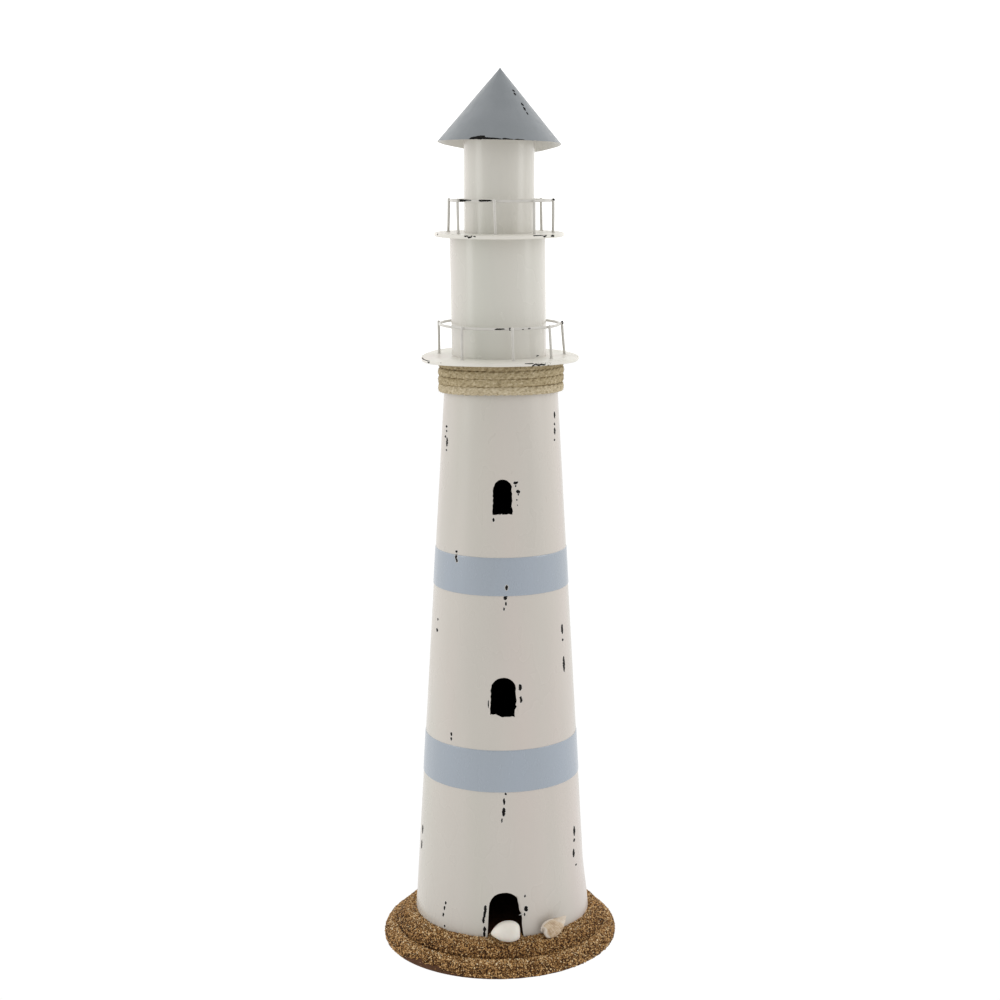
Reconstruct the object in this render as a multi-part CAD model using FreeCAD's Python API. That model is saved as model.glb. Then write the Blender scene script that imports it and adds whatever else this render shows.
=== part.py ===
import FreeCAD, Part
import math
import os

from FreeCAD import Vector, Placement, Rotation

# Garden lighthouse ornament: sheet-metal tower on a sand-covered two-tier
# board base.  Millimetres, +Z up, front (doorway side) faces -Y, origin at the
# centre of the underside.

# ---------------------------------------------------------------- dimensions
TOTAL_H = 760.0            # underside to apex of the roof

# base
BASE_R = 105.3             # outside of the sand on the lower tier
LOWER_BOARD_R = 103.6
LOWER_BOARD_T = 12.0
UPPER_BOARD_R = 89.0
UPPER_BOARD_T = 10.5
BOARD_TOP = LOWER_BOARD_T + UPPER_BOARD_T
SAND_TOP = 25.0

# tower: straight taper, R(z) = TOWER_R0 - TOWER_TAPER * z
TOWER_X = 1.0              # tower axis stands 1 mm right of the base centre
TOWER_R0 = 77.68
TOWER_TAPER = 0.05862
SHEET_T = 0.8
LAP_W = 9.0                # width of the lap seam on the rolled pieces

# openings cut in the front of the tower (x relative to the tower axis)
WINDOW_UP = dict(x=1.2, half=8.15, sill=391.0, spring=414.2, crown=421.0)
WINDOW_LOW = dict(x=1.9, half=10.9, sill=218.6, spring=243.7, crown=252.4)
DOORWAY = dict(x=3.9, half=15.1, sill=0.0, spring=54.4, crown=65.2)

# blue bands
BAND_T = 0.4
BAND_GAP = 0.05
BAND_UP = (322.4, 354.8)
BAND_LOW = (153.1, 189.4)

# rope: four turns, (z, radial half, axial half)
ROPE_TURNS = [(494.2, 2.40, 3.35), (501.1, 2.65, 3.35),
              (507.9, 2.85, 3.30), (514.5, 2.95, 3.20)]
ROPE_CROSS = 24.0          # degrees taken by each step from turn to turn

# lower gallery
DECK_T = 1.2               # sheet of both decks; their rims are turned down
LOW_DECK_X, LOW_DECK_Z, LOW_DECK_TILT = 0.25, 521.0, 1.1
LOW_DECK_R, LOW_DECK_FLAT, LOW_DECK_DROOP = 67.65, 56.0, 0.9
LOW_DECK_RIM = 2.6         # height of the turned-down rim
LOW_RAIL_H = 26.7
LOW_POST_R = 53.4
LOW_RAIL_DX = -0.45        # the railing is welded on slightly off centre
MID_TUBE_DX = -0.86
# upper gallery
MID_TUBE_R = 40.45
MID_TUBE_H = 102.7
MID_TUBE_LEAN = -0.8
UP_DECK_R, UP_DECK_FLAT, UP_DECK_DROOP = 54.95, 46.4, 0.2
UP_DECK_RIM = 3.1
UP_DECK_X, UP_DECK_TILT = -0.58, 2.3
UP_RAIL_DX = 1.35
UP_RAIL_H = 26.5
UP_POST_R = 44.3
WIRE_R = 1.15
POST_NUB = 1.6             # the posts stand this far above the ring centre

LANTERN_R = 29.72
LANTERN_X = -0.45
ROOF_R = 51.7
ROOF_RIM_Z = 699.1
ROOF_Y = -3.62
# the rim hangs lower towards the back: (distance to the back, drop)
ROOF_SAG = [(-8.0, 0.0), (0.0, 0.3), (7.0, 0.7), (20.0, 1.5), (28.0, 2.15),
            (33.3, 2.7), (37.8, 3.25), (42.0, 3.95), (48.5, 5.2),
            (57.6, 7.0), (66.0, 8.7)]
ROOF_SAG_AZ = -8.0         # the low point is a little to the left of the back

# azimuth (0 = front, + = right) at the ring, azimuth and radius at the foot
LOW_POSTS = [(-101.0, -102.5, 53.4), (-35.8, -35.6, 53.4), (11.4, 12.3, 53.5),
             (51.6, 54.2, 53.6), (91.0, 96.0, 56.2), (134.0, 134.5, 53.2),
             (177.0, 176.0, 53.4), (-138.0, -139.0, 53.5)]
UP_POSTS = [(-97.5, -98.0, 45.0), (-54.0, -52.6, 44.4), (-6.9, -5.6, 44.2),
            (38.4, 38.8, 44.3), (86.0, 86.0, 44.3), (128.6, 128.0, 44.6),
            (174.0, 173.0, 44.3), (-141.5, -142.0, 44.2)]

OUT = "parts"
os.makedirs(OUT, exist_ok=True)


# ------------------------------------------------------------------- helpers
def rad(a):
    return math.radians(a)


def polar(r, az, z):
    """Point at radius r and azimuth az (0 = front, + = right)."""
    return Vector(r * math.sin(rad(az)), -r * math.cos(rad(az)), z)


def face_xz(segments):
    """Face in the XZ plane from points; a 3-tuple of points is an arc."""
    edges = []
    for seg in segments:
        pts = [Vector(p[0], 0, p[1]) for p in seg]
        if len(pts) == 2:
            edges.append(Part.makeLine(pts[0], pts[1]))
        else:
            edges.append(Part.Arc(pts[0], pts[1], pts[2]).toShape())
    return Part.Face(Part.Wire(edges))


def poly_face(pts):
    vs = [Vector(p[0], 0, p[1]) for p in pts]
    vs.append(vs[0])
    return Part.Face(Part.makePolygon(vs))


def spin(face, start=0.0, angle=360.0):
    """Revolve an XZ face about Z; start is measured from the front."""
    f = face.copy()
    # the XZ face lies at +X, which is azimuth 90
    f.rotate(Vector(0, 0, 0), Vector(0, 0, 1), start - 90.0)
    return f.revolve(Vector(0, 0, 0), Vector(0, 0, 1), angle)


def rolled(r0, z0, r1, z1, t, lap):
    """Sheet rolled into a tube or taper, the lap seam is at the back."""
    body = spin(poly_face([(r0 - t, z0), (r0, z0), (r1, z1), (r1 - t, z1)]))
    half = math.degrees(0.5 * lap / (0.5 * (r0 + r1)))
    outer = spin(poly_face([(r0 - 0.5 * t, z0), (r0 + t, z0),
                            (r1 + t, z1), (r1 - 0.5 * t, z1)]),
                 180.0 - half, 2 * half)
    return body.fuse(outer).removeSplitter()


def arch_cutter(x, half, sill, spring, crown, y0, y1):
    """Prism with an elliptical head, from y0 to y1."""
    ell = Part.Ellipse(Vector(0, 0, 0), max(half, crown - spring),
                       min(half, crown - spring))
    rise = crown - spring
    arc = Part.ArcOfEllipse(ell, 0, math.pi).toShape()
    if half < rise:
        arc = Part.ArcOfEllipse(ell, -0.5 * math.pi, 0.5 * math.pi).toShape()
        arc.rotate(Vector(0, 0, 0), Vector(0, 0, 1), 90)
    low = sill - spring
    lines = [Part.makeLine(Vector(-half, 0, 0), Vector(-half, low, 0)),
             Part.makeLine(Vector(-half, low, 0), Vector(half, low, 0)),
             Part.makeLine(Vector(half, low, 0), Vector(half, 0, 0))]
    wire = Part.Wire(Part.__sortEdges__([arc] + lines))
    face = Part.Face(wire)
    face.rotate(Vector(0, 0, 0), Vector(1, 0, 0), 90)
    face.translate(Vector(x, y1, spring))
    return face.extrude(Vector(0, y0 - y1, 0))


def placed(shape, pl):
    s = shape.copy()
    s.Placement = pl.multiply(s.Placement)
    return s


def half_space_below(pl, z, size=400.0):
    """Box that fills everything below local height z of placement pl."""
    b = Part.makeBox(size, size, size, Vector(-size / 2, -size / 2, z - size))
    return placed(b, pl)


def half_space_above(pl, z, size=400.0):
    b = Part.makeBox(size, size, size, Vector(-size / 2, -size / 2, z))
    return placed(b, pl)


def rod(a, b, r):
    d = b.sub(a)
    return Part.makeCylinder(r, d.Length, a, d)


def single(shape, name):
    sols = shape.Solids
    if len(sols) != 1:
        raise RuntimeError("%s has %d solids" % (name, len(sols)))
    return sols[0]


def save(name, shape, count=1):
    sols = shape.Solids
    if len(sols) != count:
        raise RuntimeError("%s: %d solids, expected %d"
                           % (name, len(sols), count))
    out = sols[0] if count == 1 else Part.makeCompound(sols)
    if not out.isValid():
        raise RuntimeError("%s is not valid" % name)
    out.exportStep("%s/%s.step" % (OUT, name))


def tower_r(z):
    return TOWER_R0 - TOWER_TAPER * z


# half angle taken by the lap seam of the tower
TOWER_SEAM = math.degrees(0.5 * LAP_W / (0.5 * (tower_r(BOARD_TOP)
                                                + tower_r(524.0))))


# ---------------------------------------------------------------------- base
fillet = 8.0
lower_board = spin(face_xz([
    ((0, 0), (LOWER_BOARD_R, 0)),
    ((LOWER_BOARD_R, 0), (LOWER_BOARD_R, LOWER_BOARD_T - fillet)),
    ((LOWER_BOARD_R, LOWER_BOARD_T - fillet),
     (LOWER_BOARD_R - 0.293 * fillet, LOWER_BOARD_T - 0.293 * fillet),
     (LOWER_BOARD_R - fillet, LOWER_BOARD_T)),
    ((LOWER_BOARD_R - fillet, LOWER_BOARD_T), (0, LOWER_BOARD_T)),
    ((0, LOWER_BOARD_T), (0, 0))]))

uf = 6.5
upper_board = spin(face_xz([
    ((0, LOWER_BOARD_T), (UPPER_BOARD_R, LOWER_BOARD_T)),
    ((UPPER_BOARD_R, LOWER_BOARD_T), (UPPER_BOARD_R, BOARD_TOP - uf)),
    ((UPPER_BOARD_R, BOARD_TOP - uf),
     (UPPER_BOARD_R - 0.293 * uf, BOARD_TOP - 0.293 * uf),
     (UPPER_BOARD_R - uf, BOARD_TOP)),
    ((UPPER_BOARD_R - uf, BOARD_TOP), (0, BOARD_TOP)),
    ((0, BOARD_TOP), (0, LOWER_BOARD_T))]))

# fixing: three screws come up through the boards into clips inside the foot
CLIP_AZ = (75.0, 195.0, -60.0)
CLIP_SCREW_R = 66.5
SCREW_R = 1.75
screws, clips = [], []
for az in CLIP_AZ:
    c = polar(CLIP_SCREW_R, az, 0)
    c.x += TOWER_X
    hole = Part.makeCylinder(SCREW_R + 0.15, BOARD_TOP + 2,
                             Vector(c.x, c.y, -1))
    sink = Part.makeCylinder(4.4, 3.4, Vector(c.x, c.y, -0.001))
    lower_board = lower_board.cut(hole).cut(sink)
    upper_board = upper_board.cut(hole)
    head = Part.makeCone(3.2, 3.7, 0.8, Vector(c.x, c.y, 1.0)).fuse(
        Part.makeCylinder(3.7, 1.55, Vector(c.x, c.y, 1.8)))
    slot = Part.makeBox(5.2, 0.9, 0.9, Vector(c.x - 2.6, c.y - 0.45, 0.9))
    slot2 = Part.makeBox(0.9, 5.2, 0.9, Vector(c.x - 0.45, c.y - 2.6, 0.9))
    shank = Part.makeCylinder(SCREW_R, BOARD_TOP + 0.6,
                              Vector(c.x, c.y, 3.3))
    tip = Part.makeCone(SCREW_R, 0.5, 2.4,
                        Vector(c.x, c.y, BOARD_TOP + 3.9))
    screws.append(head.cut(slot).cut(slot2).fuse(shank).fuse(tip)
                  .removeSplitter())
    # L-shaped clip, built at azimuth 90 (towards +X) then turned
    t, w, leg = 1.2, 13.0, 13.0
    wall = tower_r(BOARD_TOP + leg) - SHEET_T - 0.5
    flat = Part.makeBox(wall - 61.5, w, t, Vector(61.5, -w / 2, BOARD_TOP))
    up = Part.makeBox(t, w, leg, Vector(wall - t, -w / 2, BOARD_TOP))
    clip = flat.fuse(up).removeSplitter()
    clip = clip.cut(Part.makeCylinder(SCREW_R + 0.06, 10,
                                      Vector(CLIP_SCREW_R, 0, BOARD_TOP - 4)))
    clip.rotate(Vector(0, 0, 0), Vector(0, 0, 1), az - 90.0)
    clip.translate(Vector(TOWER_X, 0, 0))
    clips.append(clip)

save("base_lower_board", lower_board)
save("base_upper_board", upper_board)
save("tower_foot_screws", Part.makeCompound(screws), 3)
save("tower_foot_clips", Part.makeCompound(clips), 3)

# sand glued over both tiers
g = 0.03
lb = LOWER_BOARD_R + g
sand_lower = spin(face_xz([
    ((lb, 0.3), (BASE_R - 0.5, 0.3)),
    ((BASE_R - 0.5, 0.3), (BASE_R, 3.0)),
    ((BASE_R, 3.0), (BASE_R - 2.5, 9.6), (BASE_R - 8.6, 13.2)),
    ((BASE_R - 8.6, 13.2), (UPPER_BOARD_R + 2.6, 14.0)),
    ((UPPER_BOARD_R + 2.6, 14.0), (UPPER_BOARD_R + g, 14.0)),
    ((UPPER_BOARD_R + g, 14.0), (UPPER_BOARD_R + g, LOWER_BOARD_T + g)),
    ((UPPER_BOARD_R + g, LOWER_BOARD_T + g),
     (LOWER_BOARD_R - fillet, LOWER_BOARD_T + g)),
    ((LOWER_BOARD_R - fillet, LOWER_BOARD_T + g),
     (lb - 0.293 * fillet, LOWER_BOARD_T + g - 0.293 * fillet),
     (lb, LOWER_BOARD_T - fillet)),
    ((lb, LOWER_BOARD_T - fillet), (lb, 0.3))]))
save("base_sand_lower_tier", sand_lower)

ub = UPPER_BOARD_R + g
us = 93.2
foot_r = tower_r(SAND_TOP - 1.0) + 0.06
sand_upper = spin(face_xz([
    ((ub, 14.05), (us, 14.05)),
    ((us, 14.05), (us - 2.9, 20.2), (us - 8.6, 24.3)),
    ((us - 8.6, 24.3), (80.5, SAND_TOP)),
    ((80.5, SAND_TOP), (foot_r + 1.4, SAND_TOP + 0.4)),
    ((foot_r + 1.4, SAND_TOP + 0.4), (foot_r - 9.0, SAND_TOP + 0.4)),
    ((foot_r - 9.0, SAND_TOP + 0.4), (foot_r - 9.0, BOARD_TOP + g)),
    ((foot_r - 9.0, BOARD_TOP + g), (UPPER_BOARD_R - uf, BOARD_TOP + g)),
    ((UPPER_BOARD_R - uf, BOARD_TOP + g),
     (ub - 0.293 * uf, BOARD_TOP + g - 0.293 * uf),
     (ub, BOARD_TOP - uf)),
    ((ub, BOARD_TOP - uf), (ub, 14.05))]))
# the sand stops at the outside of the tower wall, except in the doorway,
# where it runs a little way in
inside = Part.makeCone(tower_r(BOARD_TOP) + 0.08, tower_r(BOARD_TOP + 8) + 0.08,
                       8.0, Vector(TOWER_X, 0, BOARD_TOP - 0.5))
tongue = Part.makeBox(2 * DOORWAY["half"] - 0.6, 40, 20,
                      Vector(TOWER_X + DOORWAY["x"] - DOORWAY["half"] + 0.3,
                             -100, BOARD_TOP - 5))
sand_upper = sand_upper.cut(inside.cut(tongue))
seam_az = TOWER_SEAM + 0.1
foot_seam = spin(poly_face([(70.0, BOARD_TOP - 1),
                            (tower_r(BOARD_TOP) + SHEET_T + 0.06,
                             BOARD_TOP - 1),
                            (tower_r(BOARD_TOP) + SHEET_T + 0.06,
                             BOARD_TOP + 6), (70.0, BOARD_TOP + 6)]),
                 180.0 - seam_az, 2 * seam_az)
foot_seam.translate(Vector(TOWER_X, 0, 0))
sand_upper = sand_upper.cut(foot_seam)
save("base_sand_upper_tier", sand_upper)

# --------------------------------------------------------------- deck frames
# the gallery head leans a little towards the front
low_pl = Placement(Vector(LOW_DECK_X, 0, LOW_DECK_Z),
                   Rotation(Vector(1, 0, 0), LOW_DECK_TILT))
axis_end = low_pl.multVec(Vector(0, 0, MID_TUBE_H))
up_origin = Vector(UP_DECK_X, axis_end.y, axis_end.z)
up_pl = Placement(up_origin + Vector(0, 0, DECK_T),
                  Rotation(Vector(1, 0, 0), UP_DECK_TILT))


def deck(radius, flat, droop, rim):
    """Sheet disc, flat in the middle; the rim droops on an arc and ends in
    a narrow edge turned down."""
    t, c = DECK_T, 0.9
    end = radius - c
    mx = 0.5 * (flat + end)
    mz = -droop * 0.25
    low = -droop - rim
    return spin(face_xz([
        ((0, 0), (flat, 0)),
        ((flat, 0), (mx, mz), (end, -droop)),
        ((end, -droop), (radius - 0.293 * c, -droop - 0.293 * c),
         (radius, -droop - c)),
        ((radius, -droop - c), (radius, low + 0.5)),
        ((radius, low + 0.5), (radius - 0.6, low), (radius - 1.2, low + 0.5)),
        ((radius - 1.2, low + 0.5), (radius - 1.2, -droop - t - 0.35)),
        ((radius - 1.2, -droop - t - 0.35), (radius - 1.9, -droop - t)),
        ((radius - 1.9, -droop - t), (mx - 0.3, mz - t), (flat, -t)),
        ((flat, -t), (0, -t)),
        ((0, -t), (0, 0))]))


low_deck = placed(deck(LOW_DECK_R, LOW_DECK_FLAT, LOW_DECK_DROOP,
                       LOW_DECK_RIM), low_pl)
up_deck = placed(deck(UP_DECK_R, UP_DECK_FLAT, UP_DECK_DROOP, UP_DECK_RIM),
                 up_pl)
save("lower_gallery_deck", low_deck)
save("upper_gallery_deck", up_deck)

# --------------------------------------------------------------------- tower
z0, z1 = BOARD_TOP, 524.0
tower = rolled(tower_r(z0), z0, tower_r(z1), z1, SHEET_T, LAP_W)
for w in (WINDOW_UP, WINDOW_LOW):
    tower = tower.cut(arch_cutter(w["x"], w["half"], w["sill"], w["spring"],
                                  w["crown"], -100.0, -20.0))
tower = tower.cut(arch_cutter(DOORWAY["x"], DOORWAY["half"], z0 - 5.0,
                              DOORWAY["spring"], DOORWAY["crown"],
                              -100.0, -20.0))
tower.translate(Vector(TOWER_X, 0, 0))
tower = tower.cut(half_space_above(low_pl, -DECK_T - 0.02))
save("tower_shell", tower)

for name, (a, b) in (("blue_band_upper", BAND_UP), ("blue_band_lower", BAND_LOW)):
    ra, rb = tower_r(a) + BAND_GAP, tower_r(b) + BAND_GAP
    ring = spin(poly_face([(ra, a), (ra + BAND_T, a), (rb + BAND_T, b),
                           (rb, b)]))
    # room for the seam of the tower, then the strip's own lapped end
    half = TOWER_SEAM + 0.6
    gap = spin(poly_face([(ra - 1, a - 1), (ra + 3, a - 1), (rb + 3, b + 1),
                          (rb - 1, b + 1)]), 180 - half, 2 * half)
    bridge = spin(poly_face([(ra + SHEET_T, a), (ra + SHEET_T + BAND_T, a),
                             (rb + SHEET_T + BAND_T, b), (rb + SHEET_T, b)]),
                  180 - half - 0.6, 2 * half + 1.2)
    step1 = spin(poly_face([(ra, a), (ra + SHEET_T + BAND_T, a),
                            (rb + SHEET_T + BAND_T, b), (rb, b)]),
                 180 - half - 0.6, 0.6)
    step2 = spin(poly_face([(ra, a), (ra + SHEET_T + BAND_T, a),
                            (rb + SHEET_T + BAND_T, b), (rb, b)]),
                 180 + half, 0.6)
    band = ring.cut(gap).fuse([bridge, step1, step2]).removeSplitter()
    band.translate(Vector(TOWER_X, 0, 0))
    save(name, band)


# ---------------------------------------------------------------------- rope
def oval(rc, z, a, b, az):
    """Upright oval section at azimuth az: radial half a, axial half b."""
    big, small = max(a, b), min(a, b)
    e = Part.Ellipse(Vector(0, 0, 0), big, small).toShape()
    if b >= a:
        e.rotate(Vector(0, 0, 0), Vector(0, 0, 1), 90)
    e.rotate(Vector(0, 0, 0), Vector(1, 0, 0), 90)
    e.translate(Vector(rc, 0, z))
    e.rotate(Vector(0, 0, 0), Vector(0, 0, 1), az - 90.0)
    return Part.Wire([e])


START = 168.0
turn_c = [tower_r(z - b) + 0.06 + a for z, a, b in ROPE_TURNS]
pieces = []
for i, (z, a, b) in enumerate(ROPE_TURNS):
    sweep = 360.0 - ROPE_CROSS
    if i == len(ROPE_TURNS) - 1:
        sweep = 352.0 - ROPE_CROSS
    w = oval(turn_c[i], z, a, b, START + ROPE_CROSS)
    pieces.append(Part.Face(w).revolve(Vector(0, 0, 0), Vector(0, 0, 1),
                                       sweep))
    if i + 1 < len(ROPE_TURNS):
        z2, a2, b2 = ROPE_TURNS[i + 1]
        secs = []
        n = 8
        for k in range(n + 1):
            s = k / float(n)
            e = s * s * (3 - 2 * s)
            lift = 0.0
            secs.append(oval(turn_c[i] + (turn_c[i + 1] - turn_c[i]) * e + lift,
                             z + (z2 - z) * e, a + (a2 - a) * e,
                             b + (b2 - b) * e, START + ROPE_CROSS * s))
        pieces.append(Part.makeLoft(secs, True, True))
rope = pieces[0].fuse(pieces[1:])
rope.translate(Vector(TOWER_X, 0, 0))
# the rope beds itself on the seam of the tower
seam_half = TOWER_SEAM
seam = spin(poly_face([(tower_r(480) - 1, 480), (tower_r(480) + SHEET_T + 0.05, 480),
                       (tower_r(519) + SHEET_T + 0.05, 519),
                       (tower_r(519) - 1, 519)]),
            180 - seam_half - 0.1, 2 * seam_half + 0.2)
seam.translate(Vector(TOWER_X, 0, 0))
rope = rope.cut(seam)
save("rope_winding", single(rope, "rope_winding"))

# ------------------------------------------------------------- gallery tubes
mid = rolled(MID_TUBE_R, -10.0, MID_TUBE_R, MID_TUBE_H + 10.0, SHEET_T, 7.0)
mid.rotate(Vector(0, 0, 0), Vector(0, 1, 0), MID_TUBE_LEAN)
mid.translate(Vector(MID_TUBE_DX, 0, 0))
mid = placed(mid, low_pl)
mid = mid.cut(half_space_below(low_pl, 0.02))
mid = mid.cut(half_space_above(up_pl, -DECK_T - 0.02))
save("mid_tube", mid)

roof_pl = Placement(Vector(-0.75, ROOF_Y, ROOF_RIM_Z),
                    Rotation(Vector(1, 0, 0), -0.3).multiply(
                        Rotation(Vector(0, 1, 0), 0.9)))
roof_h = TOTAL_H - ROOF_RIM_Z
half_angle = math.atan2(ROOF_R, roof_h)
drop = SHEET_T / math.sin(half_angle)
inset = SHEET_T / math.cos(half_angle)

lantern = rolled(LANTERN_R, -10.0, LANTERN_R, 110.0, SHEET_T, 6.0)
lantern_pl = Placement(Vector(LANTERN_X, up_origin.y, up_origin.z + DECK_T),
                       Rotation(Vector(1, 0, 0), 1.0))
lantern = placed(lantern, lantern_pl)
lantern = lantern.cut(half_space_below(up_pl, 0.02))
# its top edge is trimmed to the inside of the roof
slope = ROOF_R / roof_h
inner = Part.makeCone(0.0, slope * 140.0, 140.0,
                      Vector(0, 0, roof_h - drop - 0.05), Vector(0, 0, -1))
inner = placed(inner, roof_pl)
lantern = lantern.common(inner)
save("lantern_tube", lantern)

# ---------------------------------------------------------------------- roof
long = 11.0                # the cone is made this much too long, then cut
wide = ROOF_R + slope * long
body = spin(poly_face([(wide, -long), (0, roof_h), (0, roof_h - drop),
                       (wide - inset, -long)]))
lap_half = 5.0
lap_face = poly_face([(wide + inset * 0.9, -long),
                      (4.0 + inset * 0.9, roof_h - 4.0 / slope),
                      (4.0, roof_h - 4.0 / slope - drop * 0.5),
                      (wide - inset * 0.5, -long)])
lap = spin(lap_face, 180 - lap_half, 2 * lap_half)
roof = body.fuse(lap).removeSplitter()
curve = Part.BSplineCurve()
curve.interpolate([Vector(0, u, -d) for u, d in ROOF_SAG])
edge = curve.toShape()
u0, u1 = ROOF_SAG[0][0], ROOF_SAG[-1][0]
d1 = ROOF_SAG[-1][1]
trim = Part.Face(Part.Wire([
    Part.makeLine(Vector(0, -90, 0), Vector(0, u0, 0)), edge,
    Part.makeLine(Vector(0, u1, -d1), Vector(0, 90, -d1)),
    Part.makeLine(Vector(0, 90, -d1), Vector(0, 90, -30)),
    Part.makeLine(Vector(0, 90, -30), Vector(0, -90, -30)),
    Part.makeLine(Vector(0, -90, -30), Vector(0, -90, 0))]))
trim.translate(Vector(-90, 0, 0))
trim = trim.extrude(Vector(180, 0, 0))
trim.rotate(Vector(0, 0, 0), Vector(0, 0, 1), -ROOF_SAG_AZ)
roof = roof.cut(trim)
roof = placed(roof, roof_pl)
top = roof.BoundBox.ZMax
roof.translate(Vector(0, 0, TOTAL_H - top))
save("roof_cone", roof)


# -------------------------------------------------------------------- railing
def railing(prefix, pl, dx, ring_z, ring_tilt, post_r, posts):
    pl = pl.multiply(Placement(Vector(dx, 0, 0), Rotation()))
    ring_r = post_r - 2 * WIRE_R - 0.05
    ring = Part.makeTorus(ring_r, WIRE_R)
    ring.rotate(Vector(0, 0, 0), Vector(1, 0, 0), ring_tilt)
    ring.translate(Vector(0, 0, ring_z))
    save(prefix + "_rail_ring", placed(ring, pl))
    for k, (az_top, az_foot, r_foot) in enumerate(posts):
        zt = ring_z + post_r * -math.cos(rad(az_top)) * math.sin(rad(ring_tilt))
        a = polar(r_foot, az_foot, 0.0)
        b = polar(post_r, az_top, zt)
        d = b.sub(a)
        d.normalize()
        low = a.sub(d * 3.0)
        high = b.add(d * POST_NUB)
        post = rod(low, high, WIRE_R)
        post = post.cut(Part.makeBox(200, 200, 20, Vector(-100, -100, -19.98)))
        save("%s_rail_post_%d" % (prefix, k + 1), placed(post, pl))


railing("lower", low_pl, LOW_RAIL_DX, LOW_RAIL_H, 0.6, LOW_POST_R, LOW_POSTS)
railing("upper", up_pl, UP_RAIL_DX, UP_RAIL_H, -1.0, UP_POST_R, UP_POSTS)

# ------------------------------------------------------- pebble and sea shell
ball = Part.makeSphere(1.0)
m = FreeCAD.Matrix()
m.scale(Vector(12.8, 9.6, 9.1))
pebble = ball.transformGeometry(m)
pebble.rotate(Vector(0, 0, 0), Vector(0, 1, 0), -6.0)
pebble.translate(Vector(4.9, -83.9, SAND_TOP + 9.05))
save("doorway_pebble", pebble)

profile = [(-8.4, 0.0), (-7.8, 2.6), (-6.2, 5.3), (-3.6, 7.4), (0.0, 8.4),
           (3.2, 8.0), (5.4, 6.9), (6.5, 5.7), (8.2, 5.6), (10.0, 4.7),
           (11.1, 3.7), (12.4, 3.6), (13.9, 2.8), (14.8, 2.1), (16.0, 1.6),
           (17.2, 0.0)]
pts = [Vector(r, 0, s) for s, r in profile]
pts.append(pts[0])
snail = Part.Face(Part.makePolygon(pts)).revolve(Vector(0, 0, 0),
                                                Vector(0, 0, 1), 360)
axis = Vector(0.77, 0.47, 0.43)
axis.normalize()
snail.Placement = Placement(Vector(44.3, -73.3, SAND_TOP + 8.5),
                            Rotation(Vector(0, 0, 1), axis))
save("sea_snail_shell", snail)
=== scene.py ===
import bpy
import math
import numpy as np
from mathutils import Matrix, Vector
from mathutils.geometry import delaunay_2d_cdt


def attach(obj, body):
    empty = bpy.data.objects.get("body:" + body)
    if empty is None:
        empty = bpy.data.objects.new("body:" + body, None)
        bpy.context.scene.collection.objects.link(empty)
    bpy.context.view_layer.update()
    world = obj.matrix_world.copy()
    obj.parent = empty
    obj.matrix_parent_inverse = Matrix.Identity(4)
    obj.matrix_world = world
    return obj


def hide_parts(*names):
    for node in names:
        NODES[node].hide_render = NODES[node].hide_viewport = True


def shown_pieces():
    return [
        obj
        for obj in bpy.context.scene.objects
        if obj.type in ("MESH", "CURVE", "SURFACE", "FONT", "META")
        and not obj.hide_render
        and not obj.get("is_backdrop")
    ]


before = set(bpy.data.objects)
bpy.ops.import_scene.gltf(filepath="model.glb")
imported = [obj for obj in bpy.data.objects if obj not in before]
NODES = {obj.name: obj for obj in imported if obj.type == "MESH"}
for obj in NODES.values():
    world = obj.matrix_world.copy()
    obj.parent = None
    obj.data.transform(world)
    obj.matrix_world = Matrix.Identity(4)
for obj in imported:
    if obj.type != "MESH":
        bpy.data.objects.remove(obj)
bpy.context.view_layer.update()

SCENE = bpy.context.scene
MM = 0.001
RNG = np.random.RandomState(20417)


# ------------------------------------------------------------ number helpers
def rad(a):
    return a * math.pi / 180.0


def _hash(i, j, k, s):
    n = (i * 73856093) ^ (j * 19349663) ^ (k * 83492791) ^ (s * 40503 + 12345)
    n = n & 0x7fffffff
    n = ((n ^ (n >> 13)) * 1274126177) & 0x7fffffff
    n = ((n ^ (n >> 15)) * 668265263) & 0x7fffffff
    return ((n >> 8) & 0xffff) / 32767.5 - 1.0


def noise(x, y=0.0, z=0.0, s=0):
    """Smooth value noise from -1 to 1, on arrays."""
    x, y, z = np.broadcast_arrays(np.asarray(x, float), np.asarray(y, float),
                                  np.asarray(z, float))
    xi, yi, zi = (np.floor(v).astype(np.int64) for v in (x, y, z))
    fx, fy, fz = x - xi, y - yi, z - zi
    fx, fy, fz = (v * v * (3 - 2 * v) for v in (fx, fy, fz))
    out = np.zeros(x.shape)
    for dx in (0, 1):
        for dy in (0, 1):
            for dz in (0, 1):
                w = ((fx if dx else 1 - fx) * (fy if dy else 1 - fy)
                     * (fz if dz else 1 - fz))
                out = out + w * _hash(xi + dx, yi + dy, zi + dz, s)
    return out


def step01(t):
    t = np.clip(t, 0.0, 1.0)
    return t * t * (3 - 2 * t)


def apply(m, p):
    """4x4 matrix on an array of points."""
    a = np.array(m)
    p = np.asarray(p, float)
    return p @ a[:3, :3].T + a[:3, 3]


def shift(x, y, z):
    return Matrix.Translation((x, y, z))


def turn(deg, axis):
    return Matrix.Rotation(rad(deg), 4, axis)


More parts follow.
